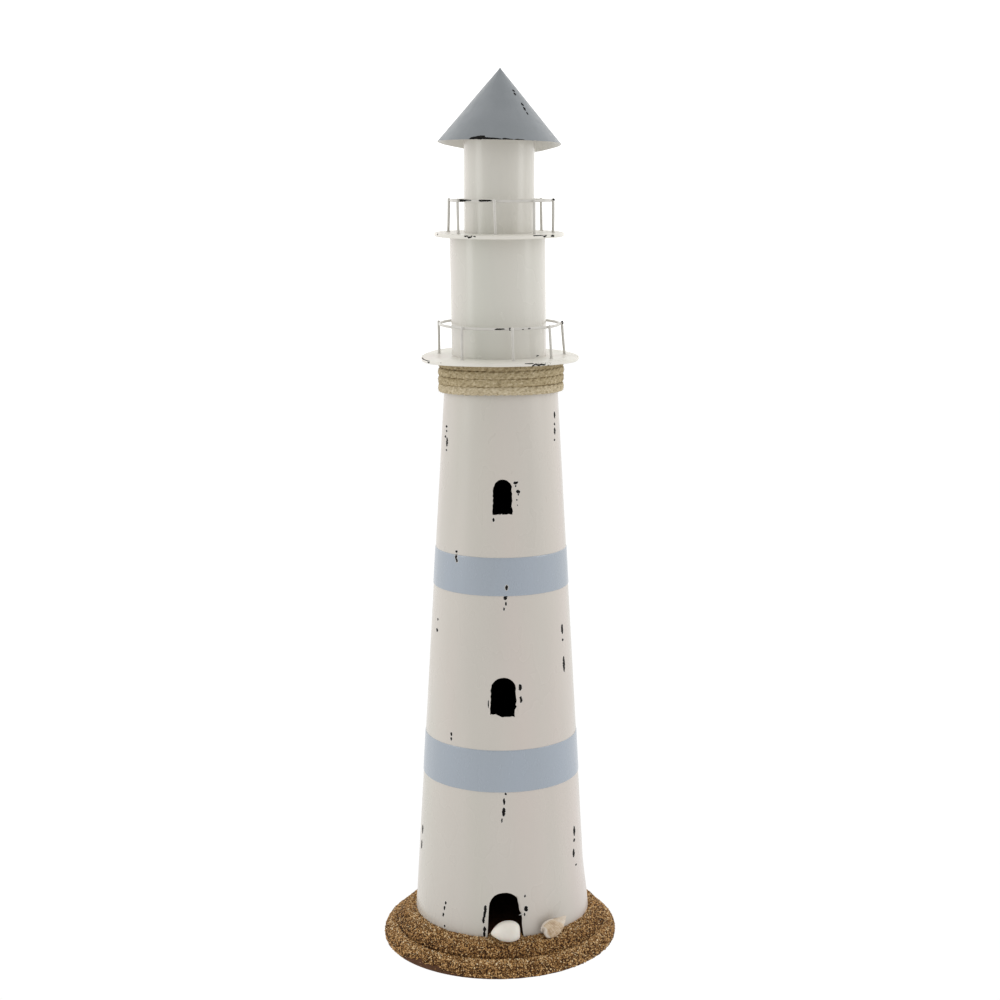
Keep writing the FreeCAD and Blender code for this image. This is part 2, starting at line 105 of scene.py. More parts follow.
# -------------------------------------------------------------- mesh helpers
class Mesh:
    """Collects vertices (mm) and faces with a material index and shading."""

    def __init__(self):
        self.v, self.f, self.m, self.s, self.w = [], [], [], [], []
        self.n = 0

    def add(self, verts, faces, mat=0, smooth=True, weight=None):
        verts = np.asarray(verts, float).reshape(-1, 3)
        n = self.n
        self.v.append(verts)
        for face in faces:
            self.f.append([int(i) + n for i in face])
        if isinstance(mat, (list, tuple, np.ndarray)):
            self.m.extend(int(x) for x in mat)
        else:
            self.m.extend([mat] * len(faces))
        self.s.extend([smooth] * len(faces))
        w = np.zeros(len(verts)) if weight is None else np.asarray(weight)
        self.w.append(np.broadcast_to(w, (len(verts),)))
        self.n += len(verts)
        return n

    def build(self, name, mats, replaces=(), sharp=38.0,
              attribute=None):
        me = bpy.data.meshes.new(name)
        verts = np.concatenate(self.v) * MM
        me.from_pydata([tuple(p) for p in verts.tolist()], [], self.f)
        for m in mats:
            me.materials.append(m)
        me.polygons.foreach_set("material_index", self.m)
        me.polygons.foreach_set("use_smooth", self.s)
        if attribute:
            layer = me.attributes.new(attribute, "FLOAT", "POINT")
            layer.data.foreach_set("value", np.concatenate(self.w))
        me.validate()
        me.update()
        if sharp:
            me.set_sharp_from_angle(angle=rad(sharp))
        ob = bpy.data.objects.new(name, me)
        SCENE.collection.objects.link(ob)
        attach(ob, "root")
        if replaces:
            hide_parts(*replaces)
        return ob


def grid_faces(nu, nv, wrap_u=False, wrap_v=False, flip=False):
    """Quads over an nu x nv grid with index u * nv + v."""
    faces = []
    for i in range(nu if wrap_u else nu - 1):
        i2 = (i + 1) % nu
        for j in range(nv if wrap_v else nv - 1):
            j2 = (j + 1) % nv
            q = (i * nv + j, i2 * nv + j, i2 * nv + j2, i * nv + j2)
            faces.append(q[::-1] if flip else q)
    return faces


def solid_sheet(outer, inner, faces):
    """Closed sheet from two matching skins; returns verts, faces, kinds
    (0 outside, 1 inside, 2 edge)."""
    n = len(outer)
    used = {}
    for f in faces:
        for a, b in zip(f, f[1:] + f[:1]):
            used[(a, b)] = used.get((a, b), 0) + 1
    out = [tuple(f) for f in faces]
    kinds = [0] * len(out)
    out += [tuple(i + n for i in f[::-1]) for f in faces]
    kinds += [1] * len(faces)
    for (a, b) in list(used):
        if (b, a) not in used:
            out.append((b, a, a + n, b + n))
            kinds.append(2)
    return np.concatenate([outer, inner]), out, kinds


def tube_along(path, radii, sides=12, round_ends=True, phase=0.0):
    """Round bar along a polyline (mm) with rounded ends."""
    path = np.asarray(path, float)
    radii = np.asarray(radii, float) * np.ones(len(path))
    tang = np.gradient(path, axis=0)
    tang /= np.linalg.norm(tang, axis=1)[:, None]
    ref = np.array([0.0, 0.0, 1.0])
    if abs(tang[0] @ ref) > 0.9:
        ref = np.array([1.0, 0.0, 0.0])
    us, vs = [], []
    u = np.cross(tang[0], ref)
    u /= np.linalg.norm(u)
    for t in tang:
        u = u - t * (u @ t)
        u /= np.linalg.norm(u)
        us.append(u.copy())
        vs.append(np.cross(t, u))
    rings = []
    ang = np.linspace(0, 2 * math.pi, sides, endpoint=False) + phase

    def ring(c, u, v, r):
        return c + r * (np.cos(ang)[:, None] * u + np.sin(ang)[:, None] * v)
    if round_ends:
        for b in (78, 52, 26):
            rings.append(ring(path[0] - tang[0] * radii[0] * 0.9
                              * math.sin(rad(b)), us[0], vs[0],
                              radii[0] * math.cos(rad(b))))
    for c, u, v, r in zip(path, us, vs, radii):
        rings.append(ring(c, u, v, r))
    if round_ends:
        for b in (26, 52, 78):
            rings.append(ring(path[-1] + tang[-1] * radii[-1] * 0.9
                              * math.sin(rad(b)), us[-1], vs[-1],
                              radii[-1] * math.cos(rad(b))))
    k = len(rings)
    v = np.concatenate(rings)
    f = grid_faces(k, sides, wrap_v=True)
    f.append(tuple(range(sides)))
    f.append(tuple(range(k * sides - 1, (k - 1) * sides - 1, -1)))
    return v, f


def blob(centre, radii, frame_axes=None, nu=10, nv=7, seed=0, rough=0.1):
    """Small uneven bead."""
    v, f = [], []
    rs = np.random.RandomState(seed)
    for i in range(nv + 1):
        b = math.pi * i / nv - math.pi / 2
        for j in range(nu):
            a = 2 * math.pi * j / nu
            k = 1.0 if i in (0, nv) else 1 + rough * (rs.rand() * 2 - 1)
            v.append((k * math.cos(b) * math.cos(a), k * math.cos(b)
                      * math.sin(a), math.sin(b)))
    v = np.array(v) * np.array(radii)
    if frame_axes is not None:
        v = v @ np.array(frame_axes)
    v = v + np.array(centre)
    low, high = v[0], v[-1]
    ring = v[nu:-nu]
    verts = np.concatenate([ring, [low, high]])
    f = grid_faces(nv - 1, nu, wrap_v=True, flip=True)
    m = (nv - 1) * nu
    for j in range(nu):
        f.append((m, (j + 1) % nu, j))
        f.append((m + 1, (nv - 2) * nu + j, (nv - 2) * nu + (j + 1) % nu))
    return verts, f


# ---------------------------------------------------------------- dimensions
T_X = 1.0
SHEET = 0.8
FOOT_Z = 22.5


def tower_r(z):
    return 77.68 - 0.05862 * z


DECK_T = 1.2
M_LOW = shift(0.25, 0, 521.0) @ turn(1.1, "X")
AXIS_END = M_LOW @ Vector((0, 0, 102.7))
M_UP = shift(-0.58, AXIS_END.y, AXIS_END.z + DECK_T) @ turn(2.3, "X")
M_MID = M_LOW @ shift(-0.86, 0, 0) @ turn(-0.8, "Y")
M_LAN = shift(-0.45, AXIS_END.y, AXIS_END.z + DECK_T) @ turn(1.0, "X")
ROOF_R, ROOF_H = 51.7, 760.0 - 699.1
HALF = math.atan2(ROOF_R, ROOF_H)
DROP, INSET = SHEET / math.sin(HALF), SHEET / math.cos(HALF)
M_ROOF = shift(-0.75, -3.62, 699.1) @ turn(-0.3, "X") @ turn(0.9, "Y")
M_ROOF = shift(0, 0, 759.99 - (M_ROOF @ Vector((0, 0, ROOF_H))).z) @ M_ROOF


# ----------------------------------------------------------------- materials
def material(name, rough=0.5, color=(0.5, 0.5, 0.5), **sockets):
    m = bpy.data.materials.new(name)
    m.use_nodes = True
    nt = m.node_tree
    b = nt.nodes["Principled BSDF"]
    b.inputs["Base Color"].default_value = (*color, 1)
    b.inputs["Roughness"].default_value = rough
    for k, v in sockets.items():
        b.inputs[k.replace("_", " ")].default_value = v
    return m, nt, b


def texture(nt, kind, scale, detail=3.0, stretch=(1, 1, 1), rough=0.55,
            distortion=0.0, offset=(0, 0, 0)):
    co = nt.nodes.new("ShaderNodeTexCoord")
    mp = nt.nodes.new("ShaderNodeMapping")
    mp.inputs["Scale"].default_value = stretch
    mp.inputs["Location"].default_value = offset
    nt.links.new(co.outputs["Object"], mp.inputs["Vector"])
    t = nt.nodes.new("ShaderNodeTex" + kind)
    t.inputs["Scale"].default_value = scale
    if kind == "Noise":
        t.inputs["Detail"].default_value = detail
        t.inputs["Roughness"].default_value = rough
        t.inputs["Distortion"].default_value = distortion
    nt.links.new(mp.outputs["Vector"], t.inputs["Vector"])
    return t


def ramp(nt, source, stops, interpolation="LINEAR"):
    r = nt.nodes.new("ShaderNodeValToRGB")
    r.color_ramp.interpolation = interpolation
    els = r.color_ramp.elements
    while len(els) > 1:
        els.remove(els[-1])
    for i, (p, c) in enumerate(stops):
        e = els[0] if i == 0 else els.new(p)
        e.position = p
        e.color = (c, c, c, 1) if isinstance(c, (int, float)) else (*c, 1)
    nt.links.new(source, r.inputs["Fac"])
    return r.outputs["Color"]


def spread(nt, source, lo, hi, a=0.3, b=0.7):
    n = nt.nodes.new("ShaderNodeMapRange")
    n.inputs["From Min"].default_value = a
    n.inputs["From Max"].default_value = b
    n.inputs["To Min"].default_value = lo
    n.inputs["To Max"].default_value = hi
    nt.links.new(source, n.inputs["Value"])
    return n.outputs["Result"]


def blend(nt, fac, a, b, mode="MIX"):
    n = nt.nodes.new("ShaderNodeMix")
    n.data_type = "RGBA"
    n.blend_type = mode
    if isinstance(fac, (int, float)):
        n.inputs[0].default_value = fac
    else:
        nt.links.new(fac, n.inputs[0])
    for i, x in ((6, a), (7, b)):
        if isinstance(x, tuple):
            n.inputs[i].default_value = (*x, 1)
        else:
            nt.links.new(x, n.inputs[i])
    return n.outputs[2]


def bump(nt, b, height, strength, distance):
    n = nt.nodes.new("ShaderNodeBump")
    n.inputs["Strength"].default_value = strength
    n.inputs["Distance"].default_value = distance
    nt.links.new(height, n.inputs["Height"])
    nt.links.new(n.outputs["Normal"], b.inputs["Normal"])


def cream(name, tone=1.0, rough=(0.22, 0.38), green=1.0, blue=1.0):
    m, nt, b = material(name)
    tg, tb = tone * green, tone * blue
    t1 = texture(nt, "Noise", 17.0, 1.0, (1, 1, 0.14))
    t2 = texture(nt, "Noise", 30.0, 1.0, (1, 1, 0.18), offset=(3, 1, 2))
    c1 = ramp(nt, t1.outputs["Fac"], [
        (0.30, (0.526 * tone, 0.518 * tg, 0.464 * tb)),
        (0.44, (0.549 * tone, 0.528 * tg, 0.484 * tb)),
        (0.56, (0.546 * tone, 0.528 * tg, 0.480 * tb)),
        (0.70, (0.562 * tone, 0.518 * tg, 0.482 * tb))], "B_SPLINE")
    c2 = ramp(nt, t2.outputs["Fac"], [
        (0.30, (0.945, 0.954, 0.949)), (0.55, (1.0, 1.0, 1.0)),
        (0.75, (1.0, 0.992, 0.984))], "B_SPLINE")
    nt.links.new(blend(nt, 1.0, c1, c2, "MULTIPLY"), b.inputs["Base Color"])
    t3 = texture(nt, "Noise", 40.0, 2.0, (1, 1, 0.5))
    nt.links.new(spread(nt, t3.outputs["Fac"], rough[0], rough[1]),
                 b.inputs["Roughness"])
    t4 = texture(nt, "Noise", 260.0, 2.0, (1, 1, 0.7))
    bump(nt, b, t4.outputs["Fac"], 0.035, 0.0005)
    b.inputs["Specular IOR Level"].default_value = 0.5
    return m


CREAM = cream("cream_paint", 1.0, green=0.968, blue=0.964)
CREAM_TUBE = cream("cream_paint_tube", 1.09, (0.20, 0.30))
# a brighter copy of the cream paint for the decks: painted light standing in for
# the light that falls on their up-facing tops
CREAM_DECK_LIT = cream("cream_paint_deck_lit", 1.28, (0.34, 0.5))


def plain_noise(name, lo, hi, scale, rough, bump_s=0.15, bump_scale=900.0,
                dist=0.0003, stretch=(1, 1, 1), **sockets):
    m, nt, b = material(name, rough, **sockets)
    t = texture(nt, "Noise", scale, 4.0, stretch)
    nt.links.new(ramp(nt, t.outputs["Fac"], [(0.3, lo), (0.7, hi)]),
                 b.inputs["Base Color"])
    t2 = texture(nt, "Noise", bump_scale, 3.0, stretch)
    bump(nt, b, t2.outputs["Fac"], bump_s, dist)
    return m


# near-black inside of the sheets: painted shade, so that the openings read as
# dark shadow
INSIDE_SHADE = plain_noise("inside_painted_shade", (0.003, 0.003, 0.003),
                     (0.007, 0.0065, 0.006), 60.0, 0.85,
                     Specular_IOR_Level=0.1)
EDGE = plain_noise("cut_edge", (0.42, 0.40, 0.36), (0.60, 0.57, 0.52), 300.0,
                   0.45)
WIRE = plain_noise("cream_paint_wire", (0.515, 0.50, 0.462),
                   (0.585, 0.568, 0.53), 160.0, 0.34)
CHIP = plain_noise("bare_black", (0.003, 0.003, 0.003), (0.008, 0.007, 0.006),
                   400.0, 0.7, Specular_IOR_Level=0.10)
HALO = plain_noise("chip_edge", (0.57, 0.545, 0.51), (0.66, 0.635, 0.60),
                   500.0, 0.5)


def blue(name):
    m, nt, b = material(name, Specular_IOR_Level=0.85)
    t1 = texture(nt, "Noise", 22.0, 2.0, (1, 1, 0.12))
    nt.links.new(ramp(nt, t1.outputs["Fac"], [
        (0.30, (0.292, 0.330, 0.374)), (0.5, (0.300, 0.340, 0.388)),
        (0.70, (0.306, 0.348, 0.404))]), b.inputs["Base Color"])
    t2 = texture(nt, "Noise", 150.0, 3.0, (1, 1, 0.4))
    nt.links.new(spread(nt, t2.outputs["Fac"], 0.20, 0.30),
                 b.inputs["Roughness"])
    t3 = texture(nt, "Noise", 380.0, 3.0, (1, 1, 0.6))
    bump(nt, b, t3.outputs["Fac"], 0.04, 0.0005)
    return m


BLUE = blue("blue_paint")


def roof_paint():
    m, nt, b = material("roof_paint")
    t1 = texture(nt, "Noise", 30.0, 3.0)
    nt.links.new(ramp(nt, t1.outputs["Fac"], [
        (0.30, (0.190, 0.208, 0.222)), (0.52, (0.208, 0.226, 0.242)),
        (0.72, (0.222, 0.240, 0.255))]), b.inputs["Base Color"])
    t2 = texture(nt, "Noise", 180.0, 3.0)
    nt.links.new(spread(nt, t2.outputs["Fac"], 0.34, 0.5),
                 b.inputs["Roughness"])
    t3 = texture(nt, "Noise", 600.0, 3.0)
    bump(nt, b, t3.outputs["Fac"], 0.12, 0.0005)
    return m


ROOF = roof_paint()


def jute():
    m, nt, b = material("jute", 0.9, Specular_IOR_Level=0.15)
    at = nt.nodes.new("ShaderNodeAttribute")
    at.attribute_name = "tone"
    t1 = texture(nt, "Noise", 420.0, 5.0, (1, 1, 1.6))
    dark = ramp(nt, t1.outputs["Fac"], [
        (0.26, (0.150, 0.104, 0.052)), (0.40, (0.330, 0.262, 0.150)),
        (0.58, (0.450, 0.372, 0.235)), (0.74, (0.600, 0.515, 0.360))])
    pale = ramp(nt, t1.outputs["Fac"], [
        (0.26, (0.270, 0.210, 0.120)), (0.45, (0.475, 0.400, 0.270)),
        (0.72, (0.640, 0.560, 0.410))])
    # the attribute runs below zero in the joints between the turns, where it
    # darkens the fibre: painted shade between the turns
    joint_shade_tint = ramp(nt, spread(nt, at.outputs["Fac"], 0.0, 1.0, -1.0, 0.0), [
        (0.0, (0.25, 0.18, 0.12)), (0.45, (0.60, 0.53, 0.42)),
        (1.0, (1.0, 1.0, 1.0))])
    fibre = blend(nt, at.outputs["Fac"], dark, pale)
    nt.links.new(blend(nt, 1.0, fibre, joint_shade_tint, "MULTIPLY"),
                 b.inputs["Base Color"])
    t2 = texture(nt, "Noise", 1300.0, 4.0)
    bump(nt, b, t2.outputs["Fac"], 0.5, 0.0004)
    return m


JUTE = jute()


def sand():
    m, nt, b = material("sand", 0.55, Specular_IOR_Level=0.18)
    at = nt.nodes.new("ShaderNodeAttribute")
    at.attribute_name = "tone"
    c = ramp(nt, at.outputs["Fac"], [
        (0.00, (0.034, 0.012, 0.003)), (0.16, (0.126, 0.054, 0.014)),
        (0.36, (0.300, 0.150, 0.045)), (0.56, (0.510, 0.288, 0.108)),
        (0.76, (0.710, 0.455, 0.205)), (0.92, (0.850, 0.655, 0.390)),
        (1.00, (0.940, 0.825, 0.620))])
    t1 = texture(nt, "Noise", 900.0, 3.0)
    c2 = ramp(nt, t1.outputs["Fac"], [(0.3, (0.72, 0.70, 0.66)),
                                      (0.7, (1.0, 1.0, 1.0))])
    nt.links.new(blend(nt, 1.0, c, c2, "MULTIPLY"), b.inputs["Base Color"])
    t2 = texture(nt, "Noise", 1500.0, 3.0)
    nt.links.new(spread(nt, t2.outputs["Fac"], 0.35, 0.7),
                 b.inputs["Roughness"])
    bump(nt, b, t2.outputs["Fac"], 0.3, 0.0003)
    return m


SAND = sand()


def board():
    m, nt, b = material("board", 0.75, Specular_IOR_Level=0.08)
    t1 = texture(nt, "Noise", 240.0, 5.0, (1, 1, 3.0))
    nt.links.new(ramp(nt, t1.outputs["Fac"], [
        (0.28, (0.058, 0.030, 0.013)), (0.5, (0.088, 0.042, 0.023)),
        (0.75, (0.118, 0.058, 0.039))]), b.inputs["Base Color"])
    t2 = texture(nt, "Noise", 900.0, 4.0, (1, 1, 2.0))
    bump(nt, b, t2.outputs["Fac"], 0.3, 0.0003)
    return m


BOARD = board()
ZINC = plain_noise("zinc", (0.46, 0.47, 0.48), (0.62, 0.63, 0.64), 220.0, 0.38,
                   Metallic=1.0)
PEBBLE = plain_noise("pebble", (0.655, 0.620, 0.555), (0.710, 0.675, 0.612),
                     90.0, 0.34, 0.10, 500.0, 0.0004,
                     Subsurface_Weight=0.12, Subsurface_Scale=0.002)
GLUE = plain_noise("dried_glue", (0.62, 0.61, 0.58), (0.78, 0.77, 0.74), 500.0,
                   0.35)


def shell():
    m, nt, b = material("shell", 0.42)
    at = nt.nodes.new("ShaderNodeAttribute")
    at.attribute_name = "tone"
    t1 = texture(nt, "Noise", 260.0, 4.0)
    tan = ramp(nt, t1.outputs["Fac"], [
        (0.30, (0.330, 0.205, 0.105)), (0.50, (0.480, 0.350, 0.215)),
        (0.70, (0.600, 0.480, 0.340))])
    pale = ramp(nt, t1.outputs["Fac"], [(0.3, (0.60, 0.535, 0.455)),
                                        (0.7, (0.70, 0.645, 0.575))])
    nt.links.new(blend(nt, at.outputs["Fac"], tan, pale),
                 b.inputs["Base Color"])
    t2 = texture(nt, "Noise", 1200.0, 3.0)
    bump(nt, b, t2.outputs["Fac"], 0.2, 0.0003)
    return m


SHELL = shell()

# ------------------------------------------------------------- tower surface
LAP0, LAP1 = 171.5, 176.0
TOWER_END = 184.2

# outlines of the openings: (azimuth in degrees, height in mm)
W1 = [(-7.56, 391.4), (-7.75, 394.1), (-7.36, 396.7), (-7.62, 399.0),
      (-7.02, 400.9), (-7.48, 403.0), (-6.95, 405.4), (-7.58, 406.7),
      (-7.18, 409.0), (-7.47, 410.9), (-7.04, 413.8), (-6.19, 415.4),
      (-5.34, 417.7), (-3.79, 419.1), (-2.06, 420.3), (-0.33, 420.8),
      (1.75, 420.9), (3.83, 420.6), (5.38, 420.1), (6.94, 418.8),
      (8.67, 417.3), (9.53, 415.7), (10.05, 414.7), (9.50, 412.8),
      (9.49, 411.0), (10.16, 408.9), (9.79, 406.3), (10.27, 403.1),
      (9.73, 400.5), (9.36, 398.3), (10.20, 396.3), (10.69, 393.9),
      (10.10, 392.5), (10.22, 391.3), (8.45, 391.4), (7.09, 391.9),
      (5.06, 391.4), (3.04, 391.4), (1.36, 391.3), (1.03, 391.6),
      (0.52, 392.2), (-0.05, 391.6), (-0.49, 391.2), (-2.33, 391.6),
      (-4.35, 391.1), (-6.37, 391.0)]
W2 = [(-8.20, 220.4), (-8.05, 222.5), (-8.41, 225.6), (-7.92, 228.7),
      (-8.10, 230.6), (-7.71, 233.7), (-8.14, 235.8), (-7.64, 238.5),
      (-8.18, 241.0), (-7.40, 244.1), (-7.34, 245.9), (-6.15, 247.8),
      (-4.60, 249.8), (-2.54, 251.4), (-0.13, 252.2), (2.29, 252.5),
      (4.70, 252.1), (6.78, 251.2), (8.68, 249.7), (10.06, 247.9),
      (11.09, 245.9), (11.59, 243.1), (11.21, 240.1), (11.53, 237.0),
      (11.68, 234.7), (12.00, 232.3), (11.64, 230.4), (11.11, 229.3),
      (11.44, 228.3), (12.13, 227.5), (11.42, 226.2), (10.55, 224.7),
      (10.36, 222.8), (10.34, 220.5), (10.49, 218.3), (8.63, 219.0),
      (6.59, 218.5), (3.57, 218.6), (0.72, 218.5), (-0.46, 219.2),
      (-2.47, 220.2), (-3.99, 221.1), (-5.84, 220.7), (-7.36, 221.0)]
DOOR = [(-8.92, FOOT_Z), (-8.76, 28.3), (-8.50, 34.6), (-8.26, 43.1),
        (-8.05, 50.5), (-7.65, 55.1), (-6.30, 59.1), (-4.40, 62.0),
        (-2.06, 63.8), (0.91, 64.7), (3.89, 64.9), (6.88, 63.9),
        (9.23, 62.0), (11.15, 59.0), (11.55, 55.8), (12.17, 52.4),
        (12.44, 48.4), (13.62, 45.4), (14.01, 41.4), (13.88, 36.8),
        (14.26, 31.1), (14.73, 26.8), (15.10, FOOT_Z)]


def lap_out(a, height=SHEET):
    """Extra radius where the sheet runs over its own start, at the back."""
    return height * step01((np.asarray(a, float) - LAP0) / (LAP1 - LAP0))


def ripple(a, z):
    """Long shallow waves left by rolling the sheet."""
    return (0.11 * noise(np.asarray(a) / 11.0 + 40, np.asarray(z) / 190.0, 3.3)
            + 0.05 * noise(np.asarray(a) / 5.0 + 90, np.asarray(z) / 70.0, 7.7))


def on_tower(a, z, out=0.0):
    a, z = np.asarray(a, float), np.asarray(z, float)
    # the foot is flared a little on one side
    flare = 2.4 * np.exp(-((a - 88.0) / 42.0) ** 2) * step01((75.0 - z) / 50.0)
    r = tower_r(z) + lap_out(a) + ripple(a, z) + flare + out
    return np.stack([T_X + r * np.sin(np.radians(a)),
                     -r * np.cos(np.radians(a)), z + 0 * r], -1)


def tower_top(a):
    """Height where the tower meets the underside of the lower deck."""
    s, c = math.sin(rad(1.1)), math.cos(rad(1.1))
    z = 519.0
    for _ in range(6):
        y = -tower_r(z) * np.cos(np.radians(a))
        z = 521.0 + (-DECK_T - 0.03 + y * s) / c
    return z


def dense(loop, k, step):
    """Loop with extra points so that no side is longer than step (mm)."""
    out = []
    n = len(loop)
    for i in range(n):
        (a0, z0), (a1, z1) = loop[i], loop[(i + 1) % n]
        d = math.hypot((a1 - a0) * k, z1 - z0)
        m = max(1, int(math.ceil(d / step)))
        for j in range(m):
            out.append((a0 + (a1 - a0) * j / m, z0 + (z1 - z0) * j / m))
    return out


def inside(pts, loop):
    """Even-odd test of points against a closed loop."""
    pts, loop = np.asarray(pts, float), np.asarray(loop, float)
    res = np.zeros(len(pts), bool)
    x, y = pts[:, 0], pts[:, 1]
    for (x0, y0), (x1, y1) in zip(loop, np.roll(loop, -1, 0)):
        if y0 == y1:
            continue
        hit = ((y0 > y) != (y1 > y)) & (x < (x1 - x0) * (y - y0) / (y1 - y0)
                                        + x0)
        res ^= hit
    return res


def loop_distance(pts, loop, closed=True):
    """Distance of points to the sides of a loop."""
    pts, loop = np.asarray(pts, float), np.asarray(loop, float)
    best = np.full(len(pts), 1e9)
    n = len(loop)
    for i in range(n if closed else n - 1):
        p, q = loop[i], loop[(i + 1) % n]
        d = q - p
        l2 = max(d @ d, 1e-12)
        t = np.clip(((pts - p) @ d) / l2, 0, 1)
        best = np.minimum(best, np.linalg.norm(pts - (p + t[:, None] * d),
                                               axis=1))
    return best


def build_tower():
    cols = [-184.2, -182.0, -180.0, -178.0, -176.0, -174.0, -172.0]
    cols += [float(a) for a in range(-170, 171, 2)]
    cols += [171.5, 172.4, 173.3, 174.2, 175.1, 176.0, 178.0, 180.0, 182.0,
             183.3, 184.2]
    rows = [22.5] + [float(z) for z in range(24, 516, 4)]
    nc, nr = len(cols), len(rows) + 1
    top = tower_top(np.array(cols))
    A = np.repeat(np.array(cols), nr)
    Z = np.zeros((nc, nr))
    Z[:, :-1] = np.array(rows)
    Z[:, -1] = top
    Z = Z.ravel()
    pts = [(a, z) for a, z in zip(A, Z)]
    extra_out = [0.0] * len(pts)

    def idx(ci, ri):
        return ci * nr + ri
    faces = []
    patches = [(-12.0, 16.0, 384.0, 428.0, W1), (-14.0, 18.0, 212.0, 260.0, W2),
               (-14.0, 22.0, 22.5, 72.0, DOOR)]
    boxes = []
    for a0, a1, z0, z1, loop in patches:
        boxes.append((cols.index(a0), cols.index(a1), rows.index(z0),
                      rows.index(z1)))
    for i in range(nc - 1):
        for j in range(nr - 1):
            if any(c0 <= i < c1 and r0 <= j < r1 for c0, c1, r0, r1 in boxes):
                continue
            faces.append((idx(i, j), idx(i + 1, j), idx(i + 1, j + 1),
                          idx(i, j + 1)))
    for (a0, a1, z0, z1, loop), (c0, c1, r0, r1) in zip(patches, boxes):
        k = rad(1.0) * tower_r(0.5 * (z0 + z1))
        door = loop is DOOR
        ids = []          # global index of each local point
        loc = []
        edges = []

        def put(a, z, g=None):
            if g is None:
                pts.append((a, z))
                extra_out.append(0.0)
                g = len(pts) - 1
            ids.append(g)
            loc.append((a * k, z))
            return len(loc) - 1
        ring = []
        bottom = [(cols[i], idx(i, r0)) for i in range(c0, c1 + 1)]
        if door:
            left = [b for b in bottom if b[0] < loop[0][0] - 0.5]
            right = [b for b in bottom if b[0] > loop[-1][0] + 0.5]
            ring += [put(a, z0, g) for a, g in left]
            body = dense(loop, k, 0.9)
            cut = max(i for i, p in enumerate(body) if p == loop[-1])
            body = body[:cut + 1]
            hole_pts = [put(a, z) for a, z in body]
            ring += hole_pts
            ring += [put(a, z0, g) for a, g in right]
        else:
            ring += [put(a, z0, g) for a, g in bottom]
        ring += [put(cols[c1], rows[j], idx(c1, j)) for j in range(r0 + 1,
                                                                  r1 + 1)]
        ring += [put(cols[i], rows[r1], idx(i, r1))
                 for i in range(c1 - 1, c0 - 1, -1)]
        ring += [put(cols[c0], rows[j], idx(c0, j))
                 for j in range(r1 - 1, r0, -1)]
        edges += [(ring[i], ring[(i + 1) % len(ring)])
                  for i in range(len(ring))]
        loops = [[loc[i] for i in ring]]
        if not door:
            body = dense(loop, k, 0.7)
            hole_pts = [put(a, z) for a, z in body]
            edges += [(hole_pts[i], hole_pts[(i + 1) % len(hole_pts)])
                      for i in range(len(hole_pts))]
            loops.append([loc[i] for i in hole_pts])
        hole = np.array([loc[i] for i in hole_pts])
        # inner points: a jittered lattice, finer close to the opening
        rs = np.random.RandomState(int(z0))
        cand = []
        for sp, lo, hi in ((0.62, 0.42, 2.4), (1.5, 2.4, 60.0)):
            xs = np.arange(a0 * k + 0.6, a1 * k - 0.5, sp)
            ys = np.arange(z0 + 0.6, z1 - 0.5, sp)
            gx, gy = np.meshgrid(xs, ys)
            g = np.stack([gx.ravel(), gy.ravel()], 1)
            g += (rs.rand(*g.shape) - 0.5) * sp * 0.45
            d = loop_distance(g, hole, closed=not door)
            keep = (d > lo) & (d <= hi)
            if door:
                keep &= inside(g, loops[0])
            else:
                keep &= ~inside(g, loops[1])
            keep &= loop_distance(g, np.array(loops[0])) > min(0.5, sp * 0.6)
            cand.append(g[keep])
        for x, z in np.concatenate(cand):
            put(x / k, z)
        vs, _, fs, ov, _, _ = delaunay_2d_cdt(
            [Vector(p) for p in loc], edges, [], 0, 1e-6)
        back = [o[0] if o else None for o in ov]
        cen = np.array([[sum(vs[i][0] for i in f) / 3.0,
                         sum(vs[i][1] for i in f) / 3.0] for f in fs])
        ok = inside(cen, loops[0])
        if len(loops) > 1:
            ok &= ~inside(cen, loops[1])
        for f, good in zip(fs, ok):
            if good and all(back[i] is not None for i in f):
                g = [ids[back[i]] for i in f]
                p = [loc[back[i]] for i in f]
                area = ((p[1][0] - p[0][0]) * (p[2][1] - p[0][1])
                        - (p[2][0] - p[0][0]) * (p[1][1] - p[0][1]))
                faces.append(tuple(g) if area > 0 else tuple(g[::-1]))
        # burr and bends near the opening
        loc_a = np.array(loc)
        d = loop_distance(loc_a, hole, closed=not door)
        for n_, (g, dd) in enumerate(zip(ids, d)):
            a, z = pts[g]
            lift = 0.0
            if dd < 3.0 and g >= nc * nr:
                lift += 0.22 * math.exp(-(dd / 0.7) ** 2)
                if loop is W2:
                    if a < 2.0 and z < 223.0:
                        lift += 0.75 * math.exp(-(dd / 1.1) ** 2)
                    if a > 9.8 and 222.0 < z < 234.0:
                        lift += 0.45 * math.exp(-(dd / 0.9) ** 2)
                if door and a > 9.5 and 44.0 < z < 61.0:
                    lift -= 1.3 * math.exp(-(dd / 0.9) ** 2)
            if loop is W2 and 214.5 < z < 237.0 and g >= nc * nr:
                # pressed line beside the window
                e = (a - 13.45) * k
                fade = float(step01((z - 214.5) / 4.0)
                             * step01((237.0 - z) / 7.0))
                lift += 0.55 * fade * math.exp(-(e / 0.75) ** 2)
            extra_out[g] = lift
    P = np.array(pts)
    E = np.array(extra_out)
    outer = on_tower(P[:, 0], P[:, 1], E)
    thin = np.where(P[:, 0] > LAP0, 0.76, SHEET)
    inner = on_tower(P[:, 0], P[:, 1], E - thin)
    v, f, kinds = solid_sheet(outer, inner, faces)
    m = Mesh()
    m.add(v, f, kinds)
    return m.build("v_tower_shell", [CREAM, INSIDE_SHADE, EDGE], ["tower_shell"],
                   sharp=50)


build_tower()


